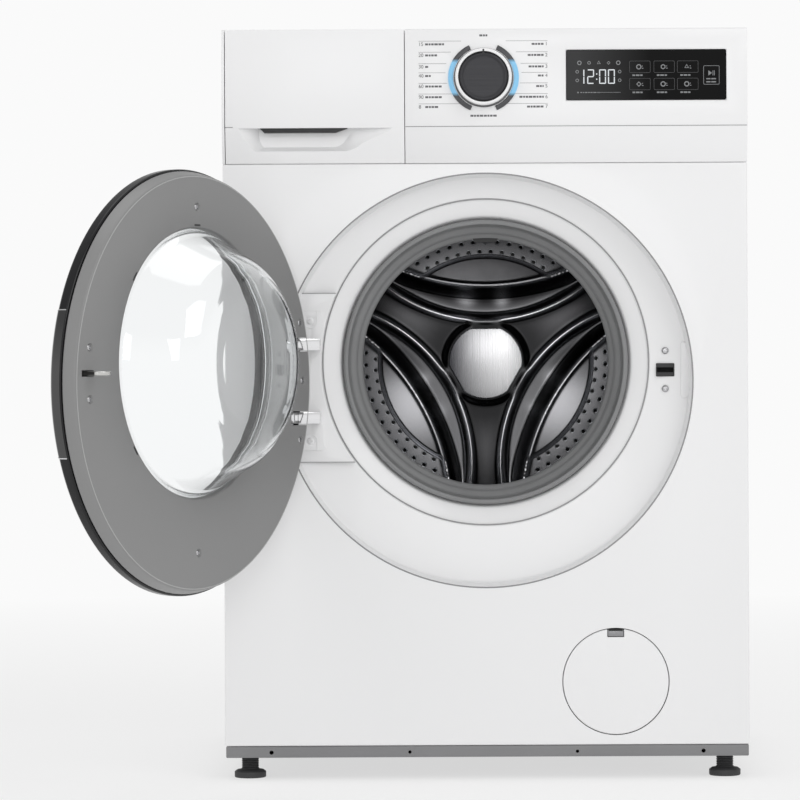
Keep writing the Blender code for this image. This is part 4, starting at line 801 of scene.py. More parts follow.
class WASHER_OT_fascia(Operator):
    """Control fascia and detergent drawer"""

    bl_idname = "washer.fascia"
    bl_label = "Fascia and drawer"
    bl_options = {"REGISTER", "UNDO"}

    def execute(self, context):
        refined("control_fascia", "moulded white", "cabinet", 0.0007, 2)
        self.drawer_face()
        refined("drawer_bin", "bin plastic", "drawer", 0.0006, 1)
        refined("dispenser_housing", "grey plastic", "cabinet", 0.0008, 1)
        self.siphon()
        high = local("control_fascia")[1]
        split = local("drawer_front")[1].x
        crease = local("drawer_front")[0].z + 0.041
        # painted shade: a grey line along the fold where the lower strip leans back
        line = block((split + 0.0012, high.x - 0.0006), (FACE_Y - 0.0001, FACE_Y + 0.0008),
                     (crease - 0.0004, crease + 0.0004))
        piece("fascia_crease_shade", line, "print and shade rule", "cabinet")
        dress("board", "control_board")
        return {"FINISHED"}

    def drawer_face(self):
        """Drawer front: flat face, a strip that leans back, and the scooped grip."""
        low, high = local("drawer_front")
        face = low.y
        crease = low.z + 0.041
        side = [(face, high.z), (high.y, high.z), (high.y, low.z), (0.0003, low.z), (face, crease)]
        body = prism(side, low.x, high.x, "X", bevel=0.0008, segments=3)
        front = [(-0.2845, 0.7385), (-0.2835, 0.7270), (-0.2790, 0.7165), (-0.2720, 0.7088),
                 (-0.2660, 0.7066), (-0.1430, 0.7066), (-0.1370, 0.7080), (-0.1300, 0.7120),
                 (-0.0945, 0.7350), (-0.0925, 0.7385)]
        back = [(-0.2560, 0.7385), (-0.2560, 0.7300), (-0.2550, 0.7240), (-0.2530, 0.7200),
                (-0.2500, 0.7175), (-0.1700, 0.7175), (-0.1650, 0.7190), (-0.1600, 0.7225),
                (-0.1500, 0.7350), (-0.1480, 0.7385)]
        scoop = taper(front, back, face - 0.004, high.y - 0.0035)
        finger = block((-0.2550, -0.1560), (face + 0.0035, high.y - 0.0030), (0.7300, 0.7500))
        hollow = block((low.x + 0.0035, high.x - 0.0035), (high.y - 0.0020, high.y + 0.01),
                       (low.z + 0.004, high.z - 0.003))
        piece("drawer_shell", cut_by(body, scoop, finger, hollow), "moulded white", "drawer",
              ("drawer_front",), angle=24)
        # painted shade: a black piece fills the deep finger slot behind the grip
        shade = prism([(-0.2500, 0.7336), (-0.1690, 0.7336), (-0.1555, 0.7384), (-0.2545, 0.7384)],
                      face + 0.0040, high.y - 0.0032, bevel=0.0004)
        piece("finger_slot_shade", shade, "lock black", "drawer")
        # painted shade: a grey line along the fold where the lower strip leans back
        line = block((low.x + 0.0002, -0.2850), (face - 0.0001, face + 0.0008),
                     (crease - 0.0004, crease
                                                                               + 0.0004))
        piece("drawer_crease_shade", line, "print and shade rule", "drawer")

    def siphon(self):
        low, high = local("drawer_bin")
        x = -0.181
        y = high.y - 0.030
        z = low.z + 0.0025
        cap = joined(block((x - 0.024, x + 0.024), (y - 0.020, y + 0.020), (z + 0.030, z + 0.034),
                           0.0012),
                     spun([(0.0045, z), (0.0085, z), (0.0085, z + 0.031), (0.0045, z + 0.031)],
                          (x, y, 0), 28, axis="Z"))
        piece("siphon_cap", cap, "pale plastic", "drawer")


class WASHER_OT_dial(Operator):
    """Program knob, its light guides and the printed marks"""

    bl_idname = "washer.dial"
    bl_label = "Program dial"
    bl_options = {"REGISTER", "UNDO"}

    def execute(self, context):
        self.knob()
        self.guides()
        self.marks()
        return {"FINISHED"}

    def knob(self):
        low, high = local("knob_ring")
        radius = (high.x - low.x) / 2
        front = low.y
        back = FACE_Y - 0.0012
        inner = (local("knob_face")[1].x - local("knob_face")[0].x) / 2
        ring = spun(rounded([
            (inner + 0.0003, front + 0.0030), (inner + 0.0003, front + 0.0006),
            (inner + 0.0010, front),
            (radius - 0.0012, front), (radius, front + 0.0014), (radius, back - 0.003),
            (radius - 0.0012, back), (inner + 0.0003, back),
        ], 0.0007, 3), (KNOB.x, 0, KNOB.z), 128)
        piece("knob_bezel", ring, "knob white", "program_knob", ("knob_ring",))
        face = spun(rounded([
            (0, front + 0.0012), (inner * 0.80, front + 0.0010), (inner - 0.0022, front + 0.0004),
            (inner, front + 0.0018), (inner, back),
        ], 0.0012, 4, closed=False) + [(0.004, back), (0.004, 0.008), (0, 0.008)],
            (KNOB.x, 0, KNOB.z), 128, closed=False)
        piece("knob_cap", face, "knob dark", "program_knob", ("knob_face",))
        tip = KNOB.z + radius - 0.0010
        pointer = block((KNOB.x - 0.0011, KNOB.x + 0.0011), (front - 0.0003, front + 0.0012),
                        (tip - 0.0062, tip), 0.0004)
        piece("knob_pointer", pointer, "lock black", "program_knob")
        # painted shadow: a dark grey ring round the foot of the knob
        foot_shadow = spun(rounded([(radius - 0.001, back + 0.0009), (radius + 0.0016, back + 0.0009),
                              (radius + 0.0016, back + 0.0002), (radius - 0.001, back + 0.0002)],
                              0.0003,
                             2), (KNOB.x, 0, KNOB.z), 96)
        piece("knob_shadow_ring", foot_shadow, "print and shadow grey", "cabinet")

    def guides(self):
        low, high = local("dial_light_left")
        y = low.y
        inner = 0.0345
        outer = 0.0400
        for name, side in (("left", 1), ("right", -1)):
            start = 90 + side * 24
            end = 90 + side * 158
            loop = rounded(arc(KNOB.x, KNOB.z, outer, start, end, 64)
                           + arc(KNOB.x, KNOB.z, inner, end, start, 64), 0.0009, 3)
            guide = prism(loop, y, high.y, bevel=0.0003)
            piece("light_guide_" + name, guide, "dial glow", "cabinet",
                  ("dial_light_" + name,))

    def marks(self):
        """Plain printed dashes and rules in two columns, with numbers for programs."""
        y = FACE_Y - PRINT_LIFT
        rows = (0.8325, 0.8200, 0.8070, 0.7967, 0.7848, 0.7727, 0.7616)
        left = ((0.0300, "15"), (0.0210, "20"), (0.0100, "30"), (0.0150, "40"), (0.0270, "60"),
                (0.0275, "90"), (0.0235, "8"))
        right = ((0.0180, "1"), (0.0225, "2"), (0.0215, "3"), (0.0110, "4"), (0.0130, "5"),
                 (0.0320, "6"), (0.0235, "7"))
        bars = []
        rules = []
        columns = ((-1, -0.0745, 0.0075, left, "LEFT"), (1, 0.0716, 0.0045, right, "RIGHT"))
        for side, edge, room, column, align in columns:
            for z, (length, number) in zip(rows, column):
                write_number(number, edge, y, z, 0.0042, align)
                start = edge - side * room
                ends = sorted((start, start - side * max(0.004, length - room)))
                bars.append(dash(*ends, y, z))
                reach = math.sqrt(max(0.0, 0.043 ** 2 - (z - 0.003 - KNOB.z) ** 2))
                ends = sorted((edge, KNOB.x + side * max(reach, 0.020)))
                rules.append(rule(*ends, y, z + 0.0036))
        bars.append(dash(KNOB.x - 0.0045, KNOB.x + 0.0045, y, 0.8424))
        bars.append(dash(KNOB.x - 0.0150, KNOB.x + 0.0150, y, 0.7515))
        piece("program_dashes", joined(*bars), "print and shadow grey", "cabinet")
        piece("program_rules", joined(*rules), "print and shade rule", "cabinet")


def dash(x0, x1, y, z, height=0.0022):
    """A printed bar broken into short strokes, like a word seen from afar."""
    strokes = []
    x = x0
    step = 0
    lengths = (0.0034, 0.0022, 0.0028, 0.0040)
    while x < x1 - 0.0008:
        end = min(x + lengths[step % 4], x1)
        strokes.append(block((x, end), (y, y + PRINT_THICK), (z - height / 2, z + height / 2)))
        x = end + 0.0007
        step += 1
    return joined(*strokes)


def rule(x0, x1, y, z):
    return block((x0, x1), (y, y + PRINT_THICK), (z - 0.00022, z + 0.00022))


def write_number(text, x, y, z, height, align):
    curve = bpy.data.curves.new("number", "FONT")
    curve.body = text
    curve.size = height * 1.35
    curve.align_x = align
    curve.align_y = "CENTER"
    curve.extrude = 0.00005
    ob = bpy.data.objects.new("number", curve)
    bpy.context.scene.collection.objects.link(ob)
    graph = bpy.context.evaluated_depsgraph_get()
    mesh = bpy.data.meshes.new_from_object(ob.evaluated_get(graph))
    bpy.data.objects.remove(ob, do_unlink=True)
    bm = bmesh.new()
    bm.from_mesh(mesh)
    bmesh.ops.remove_doubles(bm, verts=bm.verts, dist=1e-6)
    bm.transform(Matrix.Translation((x, y, z)) @ Matrix.Rotation(math.pi / 2, 4, "X"))
    return piece("number_%s_%d" % (text, round(x * 1000)), bm, "print and shadow grey", "cabinet",
                 smooth=False)


class WASHER_OT_display(Operator):
    """Black display window with its clock, icons and touch keys"""

    bl_idname = "washer.display"
    bl_label = "Display"
    bl_options = {"REGISTER", "UNDO"}

    def execute(self, context):
        low, high = local("display_window")
        glass = block((low.x, high.x), (low.y, high.y), (low.z, high.z))
        upright = [e for e in glass.edges
                   if abs((e.verts[0].co - e.verts[1].co).normalized().y) > 0.9]
        bmesh.ops.bevel(glass, geom=upright, offset=0.0022, segments=5, profile=0.5, affect="EDGES",
                        material=-1)
        soften(glass, 0.0004, 1, 60)
        piece("window_glass", glass, "window black", "cabinet", ("display_window",))
        self.y = low.y - PRINT_LIFT
        self.clock()
        self.icons()
        self.keys()
        return {"FINISHED"}

    def stroke(self, x0, x1, z0, z1):
        return block((x0, x1), (self.y, self.y + PRINT_THICK), (z0, z1))

    def clock(self):
        """Four seven-segment digits and a colon that read 12:00."""
        shapes = {
            "0": "abcdef", "1": "bc", "2": "abged",
        }
        height = 0.0164
        width = 0.0078
        thick = 0.0012
        base = 0.7869
        bars = []
        starts = (0.1053, 0.1163, 0.1298, 0.1398)
        for digit, x in zip("1200", starts):
            half = base + height / 2
            segments = {
                "a": (x + thick * 0.6, x + width - thick * 0.6, base + height - thick,
                      base + height),
                "d": (x + thick * 0.6, x + width - thick * 0.6, base, base + thick),
                "g": (x + thick * 0.6, x + width - thick * 0.6, half - thick / 2, half + thick / 2),
                "b": (x + width - thick, x + width, half + thick * 0.3,
                      base + height - thick * 0.3),
                "c": (x + width - thick, x + width, base + thick * 0.3, half - thick * 0.3),
                "e": (x, x + thick, base + thick * 0.3, half - thick * 0.3),
                "f": (x, x + thick, half + thick * 0.3, base + height - thick * 0.3),
            }
            bars += [self.stroke(*segments[s]) for s in shapes[digit]]
        for z in (base + height * 0.32, base + height * 0.68):
            bars.append(self.stroke(0.1264, 0.1277, z - 0.0007, z + 0.0007))
        piece("clock_digits", joined(*bars), "digit light", "cabinet")

    def icons(self):
        """Small plain signs round the clock: rings, drops and bars."""
        marks = []
        for i in range(5):
            x = 0.1075 + i * 0.0110
            marks.append(self.ring_mark(x, 0.8107, 0.0021 if i % 2 else 0.0025, i))
        for z in (0.8007, 0.7909):
            marks.append(self.ring_mark(0.1050, z, 0.0019, 4))
            marks.append(self.ring_mark(0.1530, z, 0.0019, 4))
        marks.append(self.stroke(0.1050, 0.1066, 0.7764, 0.7780))
        x = 0.1085
        for length in (0.0022, 0.0014, 0.0028, 0.0018, 0.0024, 0.0036, 0.0030):
            marks.append(self.stroke(x, x + length, 0.7767, 0.7777))
            x += length + 0.0008
        marks.append(self.stroke(0.1280, 0.1540, 0.7770, 0.7774))
        piece("clock_icons", joined(*marks), "key light", "cabinet")

    def ring_mark(self, x, z, radius, sides):
        sides = (24, 6, 3, 4, 24)[sides]
        outer = arc(x, z, radius, 90, 90 + 360, sides)[:-1]
        inner = arc(x, z, radius * 0.62, 90, 90 + 360, sides)[:-1]
        return self.band(outer, inner)

    def band(self, outer, inner):
        """A flat frame between two outlines with the same number of points."""
        bm = bmesh.new()
        loops = []
        for points in (outer, inner):
            verts = [bm.verts.new((u, self.y, v)) for u, v in points]
            loops.append([bm.edges.new((a, b)) for a, b in zip(verts, verts[1:] + verts[:1])])
        bmesh.ops.bridge_loops(bm, edges=loops[0] + loops[1])
        made = bmesh.ops.extrude_face_region(bm, geom=list(bm.faces))["geom"]
        moved = [g for g in made if isinstance(g, bmesh.types.BMVert)]
        bmesh.ops.translate(bm, verts=moved, vec=(0, PRINT_THICK, 0))
        bmesh.ops.recalc_face_normals(bm, faces=bm.faces)
        return bm

    def outline(self, x0, x1, z0, z1, line):
        outer = rounded([(x0, z0), (x1, z0), (x1, z1), (x0, z1)], 0.0016, 4)
        inner = rounded([(x0 + line, z0 + line), (x1 - line, z0 + line), (x1 - line, z1 - line),
                         (x0 + line, z1 - line)], 0.0012, 4)
        return self.band(outer, inner)

    def keys(self):
        """Six touch keys in two rows and a taller start key."""
        columns = ((0.1640, 0.1878), (0.1916, 0.2152), (0.2181, 0.2420))
        rows = ((0.7992, 0.8127), (0.7798, 0.7931))
        frames = []
        signs = []
        for r, (z0, z1) in enumerate(rows):
            for c, (x0, x1) in enumerate(columns):
                frames.append(self.outline(x0, x1, z0, z1, 0.0004))
                x = (x0 + x1) / 2
                z = (z0 + z1) / 2
                kind = (r * 3 + c) % 5
                signs.append(self.ring_mark(x - 0.0012, z, 0.0030, kind))
                signs.append(self.stroke(x + 0.0022, x + 0.0040, z - 0.0020, z - 0.0012))
                signs.append(self.stroke(x + 0.0022, x + 0.0034, z + 0.0004, z + 0.0012))
                start = x0 + 0.0035
                for length in (0.0030, 0.0042, 0.0026):
                    signs.append(self.stroke(start, start + length, z0 - 0.0036, z0 - 0.0019))
                    start += length + 0.0008
        piece("key_frames", joined(*frames), "dim print", "cabinet")
        start_key = [self.outline(0.2477, 0.2659, 0.7856, 0.8071, 0.0005)]
        x = (0.2477 + 0.2659) / 2
        triangle = [(x - 0.0034, 0.8016), (x + 0.0006, 0.7987), (x - 0.0034, 0.7958)]
        start_key.append(prism([(u, v) for u, v in triangle], self.y, self.y + PRINT_THICK))
        start_key.append(self.stroke(x + 0.0014, x + 0.0021, 0.7959, 0.8015))
        start_key.append(self.stroke(x + 0.0030, x + 0.0037, 0.7959, 0.8015))
        for z in (0.7921, 0.7886):
            start_key.append(self.stroke(x - 0.0058, x - 0.0010, z - 0.0006, z + 0.0007))
            start_key.append(self.stroke(x - 0.0002, x + 0.0052, z - 0.0006, z + 0.0007))
        piece("start_key", joined(*start_key), "key light", "cabinet")
        piece("key_signs", joined(*signs), "key light", "cabinet")


class WASHER_OT_door(Operator):
    """Door rings, glass bowl, handle, hook and screws"""

    bl_idname = "washer.door"
    bl_label = "Door"
    bl_options = {"REGISTER", "UNDO"}

    thick = 0.014
    plate = 0.015
    handle_half = 0.077

    def execute(self, context):
        size = context.scene.washer_size
        self.outer_ring(size)
        self.handle()
        self.inner_ring(size)
        self.glass(size)
        self.fittings()
        return {"FINISHED"}

    def outer_ring(self, size):
        face = -self.thick
        hole = GLASS_R - 0.0075
        r = DOOR_R
        section = rounded([
            (hole, AXIS_Z, -GAP), (hole, AXIS_Z, face + 0.0008), (hole + 0.0035, AXIS_Z, face),
            (r - 0.0030, DOOR_Z, face), (r, DOOR_Z, face + 0.0032), (r, DOOR_Z, -0.0016),
            (r - 0.0012, DOOR_Z, -GAP),
        ], 0.0014, 4)
        ring = lofted(section, size.ring_steps, closed=True)
        pockets = self.arm_pockets((-0.0135, 0.03), -0.2232)
        ring = cut_by(ring, *pockets, block((HINGE.x - 0.0028, HINGE.x + 0.0028), (-0.0108, 0.02),
                                            (DOOR_Z - 0.0543, DOOR_Z + 0.0543)))
        piece("door_black_ring", ring, "piano black", "door", ("door_outer_ring",),
              door=True, angle=35)

    def arm_pockets(self, y, reach):
        pockets = []
        for node in ("hinge_arm_upper", "hinge_arm_lower"):
            z = middle(node).z
            pockets.append(block((reach, HINGE.x + 0.0350), y, (z - 0.0080, z + 0.0080)))
        return pockets

    def handle(self):
        """Gloss cap wrapped round the free edge, with a thin bright line at each end."""
        r = DOOR_R + 0.0004
        face = -self.thick - 0.0004
        span = math.degrees(math.asin(self.handle_half / DOOR_R))
        section = rounded([(r - 0.0175, face), (r - 0.0030, face), (r, face + 0.0032),
                           (r, -0.0010)],
                          0.0016, 5, closed=False)
        self.wrapped("door_grip", section, -span, span, "handle black", "black_handle",
                     ("door_handle",))
        line = [(u + 0.0003 if i else u, v - 0.0002) for i, (u, v) in enumerate(section)]
        for name, a in (("top", span), ("bottom", -span)):
            self.wrapped("grip_line_" + name, line, a - 0.14, a + 0.14, "silver trim", "hook_metal")

    def wrapped(self, name, section, start, end, finish_name, slot, replaces=()):
        """An open section turned part of the way round the door's axis."""
        bm = bmesh.new()
        verts = [bm.verts.new((r, y, 0)) for r, y in section]
        edges = [bm.edges.new(pair) for pair in zip(verts, verts[1:])]
        bmesh.ops.rotate(bm, verts=verts, cent=(0, 0, 0),
                         matrix=Matrix.Rotation(math.radians(-start), 3,
                                                                                "Y"))
        steps = max(2, round((end - start) * 1.4))
        bmesh.ops.spin(bm, geom=verts + edges, cent=(0, 0, 0), axis=(0, -1, 0), dvec=(0, 0, 0),
                       angle=math.radians(end - start), steps=steps, use_merge=False,
                       use_duplicate=False)
        bmesh.ops.recalc_face_normals(bm, faces=bm.faces)
        test = max(bm.faces, key=lambda f: f.calc_center_median().x)
        if test.normal.x < 0:
            bmesh.ops.reverse_faces(bm, faces=bm.faces)
        bmesh.ops.solidify(bm, geom=list(bm.faces), thickness=0.0008)
        bmesh.ops.recalc_face_normals(bm, faces=bm.faces)
        bm.transform(Matrix.Translation((0, 0, DOOR_Z)))
        return piece(name, bm, finish_name, "door", replaces, door=True, angle=35)

    def inner_ring(self, size):
        base = PLATE_R
        flat = base - 0.0055
        top = self.plate
        hole = GLASS_R - 0.0125
        section = rounded([
            (hole + 0.0125, AXIS_Z, GAP), (hole + 0.0125, AXIS_Z, 0.0060), (hole, AXIS_Z, 0.0060),
            (hole, AXIS_Z, top - 0.0020), (hole + 0.0016, AXIS_Z, top),
            (flat - 0.0005, DOOR_Z, top), (flat + 0.0014, DOOR_Z, top - 0.0018),
            (base - 0.0002, DOOR_Z, 0.0012), (base - 0.0010, DOOR_Z, GAP),
        ], 0.0010, 3)
        ring = lofted(section, size.ring_steps, closed=True)
        cutters = self.arm_pockets((-0.02, 0.05), -0.240)
        cutters.append(block((0.1925, 0.2140), (0.004, 0.05), (LOCK_HOOK_Z - 0.0034,
                                                              LOCK_HOOK_Z + 0.0034), 0.001))
        for x, z in self.screw_places():
            cutters.append(spun([(0, top - 0.0022), (0.0034, top - 0.0022), (0.0056, top + 0.001),
                                 (0.0056, top + 0.01), (0, top + 0.01)], (x, 0, z), 28,
                                 closed=False))
        piece("door_grey_plate", cut_by(ring, *cutters), "door grey", "door",
              ("door_inner_ring",), door=True, angle=28)
        self.screws(top)
        # painted highlight: a lighter grey ring along the edge of the plate's flat top
        line = band_ring(flat - 0.0012, flat - 0.0002, top - 0.0002, DOOR_Z, 0.0004,
                         size.ring_steps)
        piece("plate_edge_highlight", line, "edge highlight grey", "door", door=True)
        marks = []
        for degrees in (90, 38, 142, 218, 322):
            mark = block((hole + 0.0028, hole + 0.0048), (top - 0.0004, top + 0.0003),
                         (-0.0055, 0.0055), 0.0002, 1)
            mark.transform(Matrix.Translation((0, 0, AXIS_Z))
                           @ Matrix.Rotation(-math.radians(degrees), 4, "Y"))
            marks.append(mark)
        piece("plate_notches", joined(*marks), "lock black", "door", door=True)

    def screw_places(self):
        return [(0, DOOR_Z + 0.190), (0, DOOR_Z - 0.184), (0.199, LOCK_HOOK_Z + 0.027),
                (0.199, LOCK_HOOK_Z - 0.027), (-0.205, DOOR_Z + 0.066), (-0.210, DOOR_Z + 0.001),
                (-0.205, DOOR_Z - 0.066)]

    def screws(self, top):
        for i, (x, z) in enumerate(self.screw_places()):
            head = screw_head((0, 0, 0), 0.0036)
            head.transform(Matrix.Translation((x, top - 0.0020, z)) @ Matrix.Rotation(math.pi, 4,
                                                                                      "Z"))
            piece("door_screw_%d" % (i + 1), head, "screw steel", "door", door=True)

    def glass(self, size):
        """Clear bowl: flange, a short step, the flared side and a slightly domed end."""
        rim = GLASS_R
        neck = GLASS_R - 0.0142
        wall = 0.0042
        deep = 0.091
        outer = [(rim, 0.0010), (rim, 0.0044), (neck + 0.0010, 0.0044), (neck - 0.0006, 0.0150),
                 (neck - 0.0050, 0.0205), (neck - 0.0170, deep * 0.48),
                 (neck - 0.0300, deep * 0.75),
                 (neck - 0.0480, deep * 0.925), (neck - 0.0720, deep * 0.99), (0, deep)]
        outside = rounded(outer, 0.0085, 6, closed=False)
        profile = outside + set_in(outside[2:], wall)[::-1] + [(neck - 0.0040, 0.0010)]
        bowl = spun(profile, (0, 0, AXIS_Z), size.ring_steps, closed=True)
        piece("door_bowl", bowl, "glass", "door", ("door_glass",), door=True,
              angle=60)

    def fittings(self):
        hook = soften(shape_of("latch_hook"), 0.0005, 2)
        piece("latch_hook_skin", hook, "hook nickel", "latch", ("latch_hook",))
        dress("brushed steel", "hinge_pin")


class WASHER_OT_hinge(Operator):
    """Hinge plate, its pressed pads and screws, and the two arms"""

    bl_idname = "washer.hinge"
    bl_label = "Hinge"
    bl_options = {"REGISTER", "UNDO"}

    def execute(self, context):
        plate = soften(shape_of("hinge_plate"), 0.0005, 2)
        piece("hinge_plate_skin", plate, "moulded white", "cabinet",
              ("hinge_plate",))
        y = local("hinge_plate")[0].y
        for name, z, side in (("upper", DOOR_Z + 0.0685, 1), ("lower", DOOR_Z - 0.0685, -1)):
            turn = -side
            path = arc(-0.200, z, 0.0078, 0, turn * 180, 16)
            path = [(-0.1922, z + side * 0.011)] + path + [(-0.2078, z + side * 0.011)]
            piece("hinge_press_" + name, self.ridge(path, y), "moulded white", "cabinet")
            head = screw_head((-0.200, y - 0.0004, z), 0.0042)
            piece("hinge_screw_" + name, head, "knob white", "cabinet")
        for name in ("upper", "lower"):
            node = "hinge_arm_" + name
            arm = soften(shape_of(node), 0.0007, 2)
            piece("arm_chrome_" + name, arm, "chrome", "cabinet", (node,))
        return {"FINISHED"}

    def ridge(self, path, y):
        """A low pressed bead along a path on the plate."""
        half = 0.0008
        outer = []
        inner = []
        for i, (x, z) in enumerate(path):
            a = Vector(path[max(i - 1, 0)])
            b = Vector(path[min(i + 1, len(path) - 1)])
            along = (b - a).normalized()
            side = Vector((-along.y, along.x)) * half
            outer.append((x + side.x, z + side.y))
            inner.append((x - side.x, z - side.y))
        return prism(outer + inner[::-1], y - 0.0006, y + 0.0004, bevel=0.0003, segments=1)


class WASHER_OT_seal(Operator):
    """Rubber door seal with its lips and spray nozzle"""

    bl_idname = "washer.seal"
    bl_label = "Door seal"
    bl_options = {"REGISTER", "UNDO"}

    def execute(self, context):
        low, high = local("door_seal")
        out = (high.x - low.x) / 2 - 0.0014
        y0 = low.y
        y1 = high.y
        lip = 0.1414
        section = rounded([
            (out, y0 + 0.0005), (out, y0 + 0.018), (out - 0.0055, y0 + 0.022),
            (out - 0.0055, y1 - 0.011), (out - 0.0005, y1 - 0.006), (out - 0.0005, y1),
            (out - 0.0045, y1), (out - 0.009, y1 - 0.0050), (lip + 0.0040, y1 - 0.0072),
            (lip, y1 - 0.0115), (lip + 0.0012, y1 - 0.0160), (lip + 0.0070, y1 - 0.0195),
            (lip + 0.0085, y1 - 0.0245), (lip + 0.0060, y1 - 0.0275), (lip + 0.0090, y1 - 0.0310),
            (lip + 0.0140, y1 - 0.0330), (lip + 0.0165, y0 + 0.0150), (lip + 0.0172, y0 + 0.0060),
            (out - 0.0060, y0 - 0.0010), (out - 0.0018, y0 - 0.0018),
        ], 0.0028, 4)
        seal = spun(section, (0, 0, AXIS_Z), context.scene.washer_size.ring_steps)
        piece("seal_bellows", seal, "rubber", "cabinet", ("door_seal",), angle=50)
        z = AXIS_Z + lip - 0.0035
        nozzle = prism(rounded([(-0.016, z + 0.0075), (-0.0125, z), (0.0125, z),
                                (0.016, z + 0.0075)],
                               0.0015, 3), y1 - 0.016, y1 - 0.004, bevel=0.0008)
        piece("spray_nozzle", nozzle, "lock black", "cabinet")
        return {"FINISHED"}


class WASHER_OT_drum(Operator):
    """Perforated drum shell, front ring, pressed back, hub disc and lifters"""

    bl_idname = "washer.drum"
    bl_label = "Drum"
    bl_options = {"REGISTER", "UNDO"}

    def execute(self, context):
        size = context.scene.washer_size
        self.shell(size)
        self.front(size)
        self.back()
        self.hub()
        self.lifters()
        dress("cast alloy", "drum_spider", "drum_pulley")
        return {"FINISHED"}

    def shell(self, size):
        """Rolled sheet with staggered round holes, open at a vertex of each cell."""
        r = DRUM_R
        t = 0.0010
        y0 = DRUM_FRONT + 0.0016
        y1 = DRUM_BACK
        rows = 26
        columns = 132
        bm = bmesh.new()
        verts = [bm.verts.new((r, 0, y0 + (y1 - y0) * i / rows)) for i in range(rows + 1)]
        edges = [bm.edges.new(pair) for pair in zip(verts, verts[1:])]
        bmesh.ops.spin(bm, geom=verts + edges, cent=(0, 0, 0), axis=(0, 0, 1), dvec=(0, 0, 0),
                       angle=math.tau, steps=columns, use_merge=True, use_duplicate=False)
        bmesh.ops.remove_doubles(bm, verts=bm.verts, dist=1e-6)
        pitch = math.tau / columns
        chosen = []
        for v in bm.verts:
            row = round((v.co.z - y0) / (y1 - y0) * rows)
            column = round(math.atan2(v.co.y, v.co.x) / pitch) % columns
            seam = column % 44
            if 2 <= row <= rows - 2 and (row + column) % 2 == 0 and 4 < seam < 40:
                chosen.append(v)
        made = bmesh.ops.bevel(bm, geom=chosen, offset=size.hole * 1.25, segments=2, profile=0.5,
                               affect="VERTICES", material=-1)
        small = [f for f in made["faces"] if f.calc_area() < 20 * size.hole ** 2]
        bmesh.ops.delete(bm, geom=small, context="FACES")
        bm.transform(Matrix.Translation((0, 0, AXIS_Z)) @ Matrix.Rotation(-math.pi / 2, 4, "X"))
        bmesh.ops.recalc_face_normals(bm, faces=bm.faces)
        test = bm.faces[:][0]
        outward = test.calc_center_median() - Vector((0, test.calc_center_median().y, AXIS_Z))
        if test.normal.dot(outward) < 0:
            bmesh.ops.reverse_faces(bm, faces=bm.faces)
        shell = piece("drum_sheet", bm, "drum sheet", "drum", ("drum_shell",),
                      angle=60)
        wall = shell.modifiers.new("sheet", "SOLIDIFY")
        wall.thickness = t
        wall.offset = -1

    def front(self, size):
        f = DRUM_FRONT
        mouth = 0.160
        section = rounded([
            (mouth + 0.0002, f + 0.0078), (mouth, f + 0.0022), (mouth + 0.0022, f + 0.0002),
            (mouth + 0.020, f + 0.0002), (mouth + 0.030, f + 0.0009), (DRUM_R - 0.0003, f + 0.0002),
            (DRUM_R - 0.0003, f + 0.0012), (mouth + 0.030, f + 0.0020), (mouth + 0.020, f + 0.0012),
            (mouth + 0.0028, f + 0.0012), (mouth + 0.0012, f + 0.0028),
            (mouth + 0.0012, f + 0.0078),
        ], 0.0016, 3)
        ring = spun(section, (0, 0, AXIS_Z), size.ring_steps)
        piece("drum_mouth", ring, "drum mirror", "drum", ("drum_front_ring",))

    def curves(self, x, z):
        """Distances outside the two pressed curves of the nearest panel."""
        angle = math.degrees(math.atan2(z, x)) % 120
        a = math.radians(math.degrees(math.atan2(z, x)) - angle + 90)
        u = x * math.cos(a) + z * math.sin(a)
        v = -x * math.sin(a) + z * math.cos(a)
        if u < 0 or angle < 30:
            a -= math.radians(120)
            u = x * math.cos(a) + z * math.sin(a)
            v = -x * math.sin(a) + z * math.cos(a)
        first = math.hypot(u - 0.0946 - 0.279, v) - 0.279
        second = math.hypot(u - 0.048 - 0.201, v) - 0.201
        return first, second, v

    def height(self, x, z):
        """How far the pressed back stands towards the door at a point."""
        r = math.hypot(x, z)
        first, second, _ = self.curves(x, z)
        bead = bump_at(second + 0.004, 0.0045) * 0.0042
        scoop = -ease(-second / 0.014) * 0.0045
        wall = ease((0.020 - first) / 0.020) * 0.0115
        lip = bump_at(first, 0.0022) * 0.0012
        step = ease((r - 0.1290) / 0.0024) * 0.0022 if first < 0 else 0.0
        dish = 0.003 * ease((0.056 - r) / 0.010)
        return bead + scoop + wall + lip - step + dish

    def tone(self, x, z):
        """Painted light of the pressed back at a point: painted highlights on the beads, rims and
        panels, painted window reflections, and painted shade in the hollows and on the arms.
        """
        r = math.hypot(x, z)
        first, second, v = self.curves(x, z)
        # painted light: the lower panels are made lighter
        low = ease((0.02 - z) / 0.06)
        # painted shade on the arms, with a lighter painted reflection near the inner curve
        arm = 0.022 + 0.05 * bump_at(second - 0.016, 0.012) * ease((r - 0.06) / 0.05)
        # painted shade in the hollow between the curves
        hollow = 0.018 + 0.11 * low * bump_at(first - 0.020, 0.013)
        # painted reflections of two windows in the hollow
        window = bump_at(first - 0.013, 0.011) * (bump_at(v + 0.020, 0.008) + bump_at(v - 0.024,
                                                                                      0.010))
        hollow += 0.30 * window * (1 - 0.6 * low)
        # painted highlight along the inner curve
        bead = 0.75 * bump_at(second + 0.0035, 0.0026) * (0.25 + 0.75 * ease(abs(v) / 0.040))
        bead += 0.10 * bump_at(second + 0.010, 0.008)
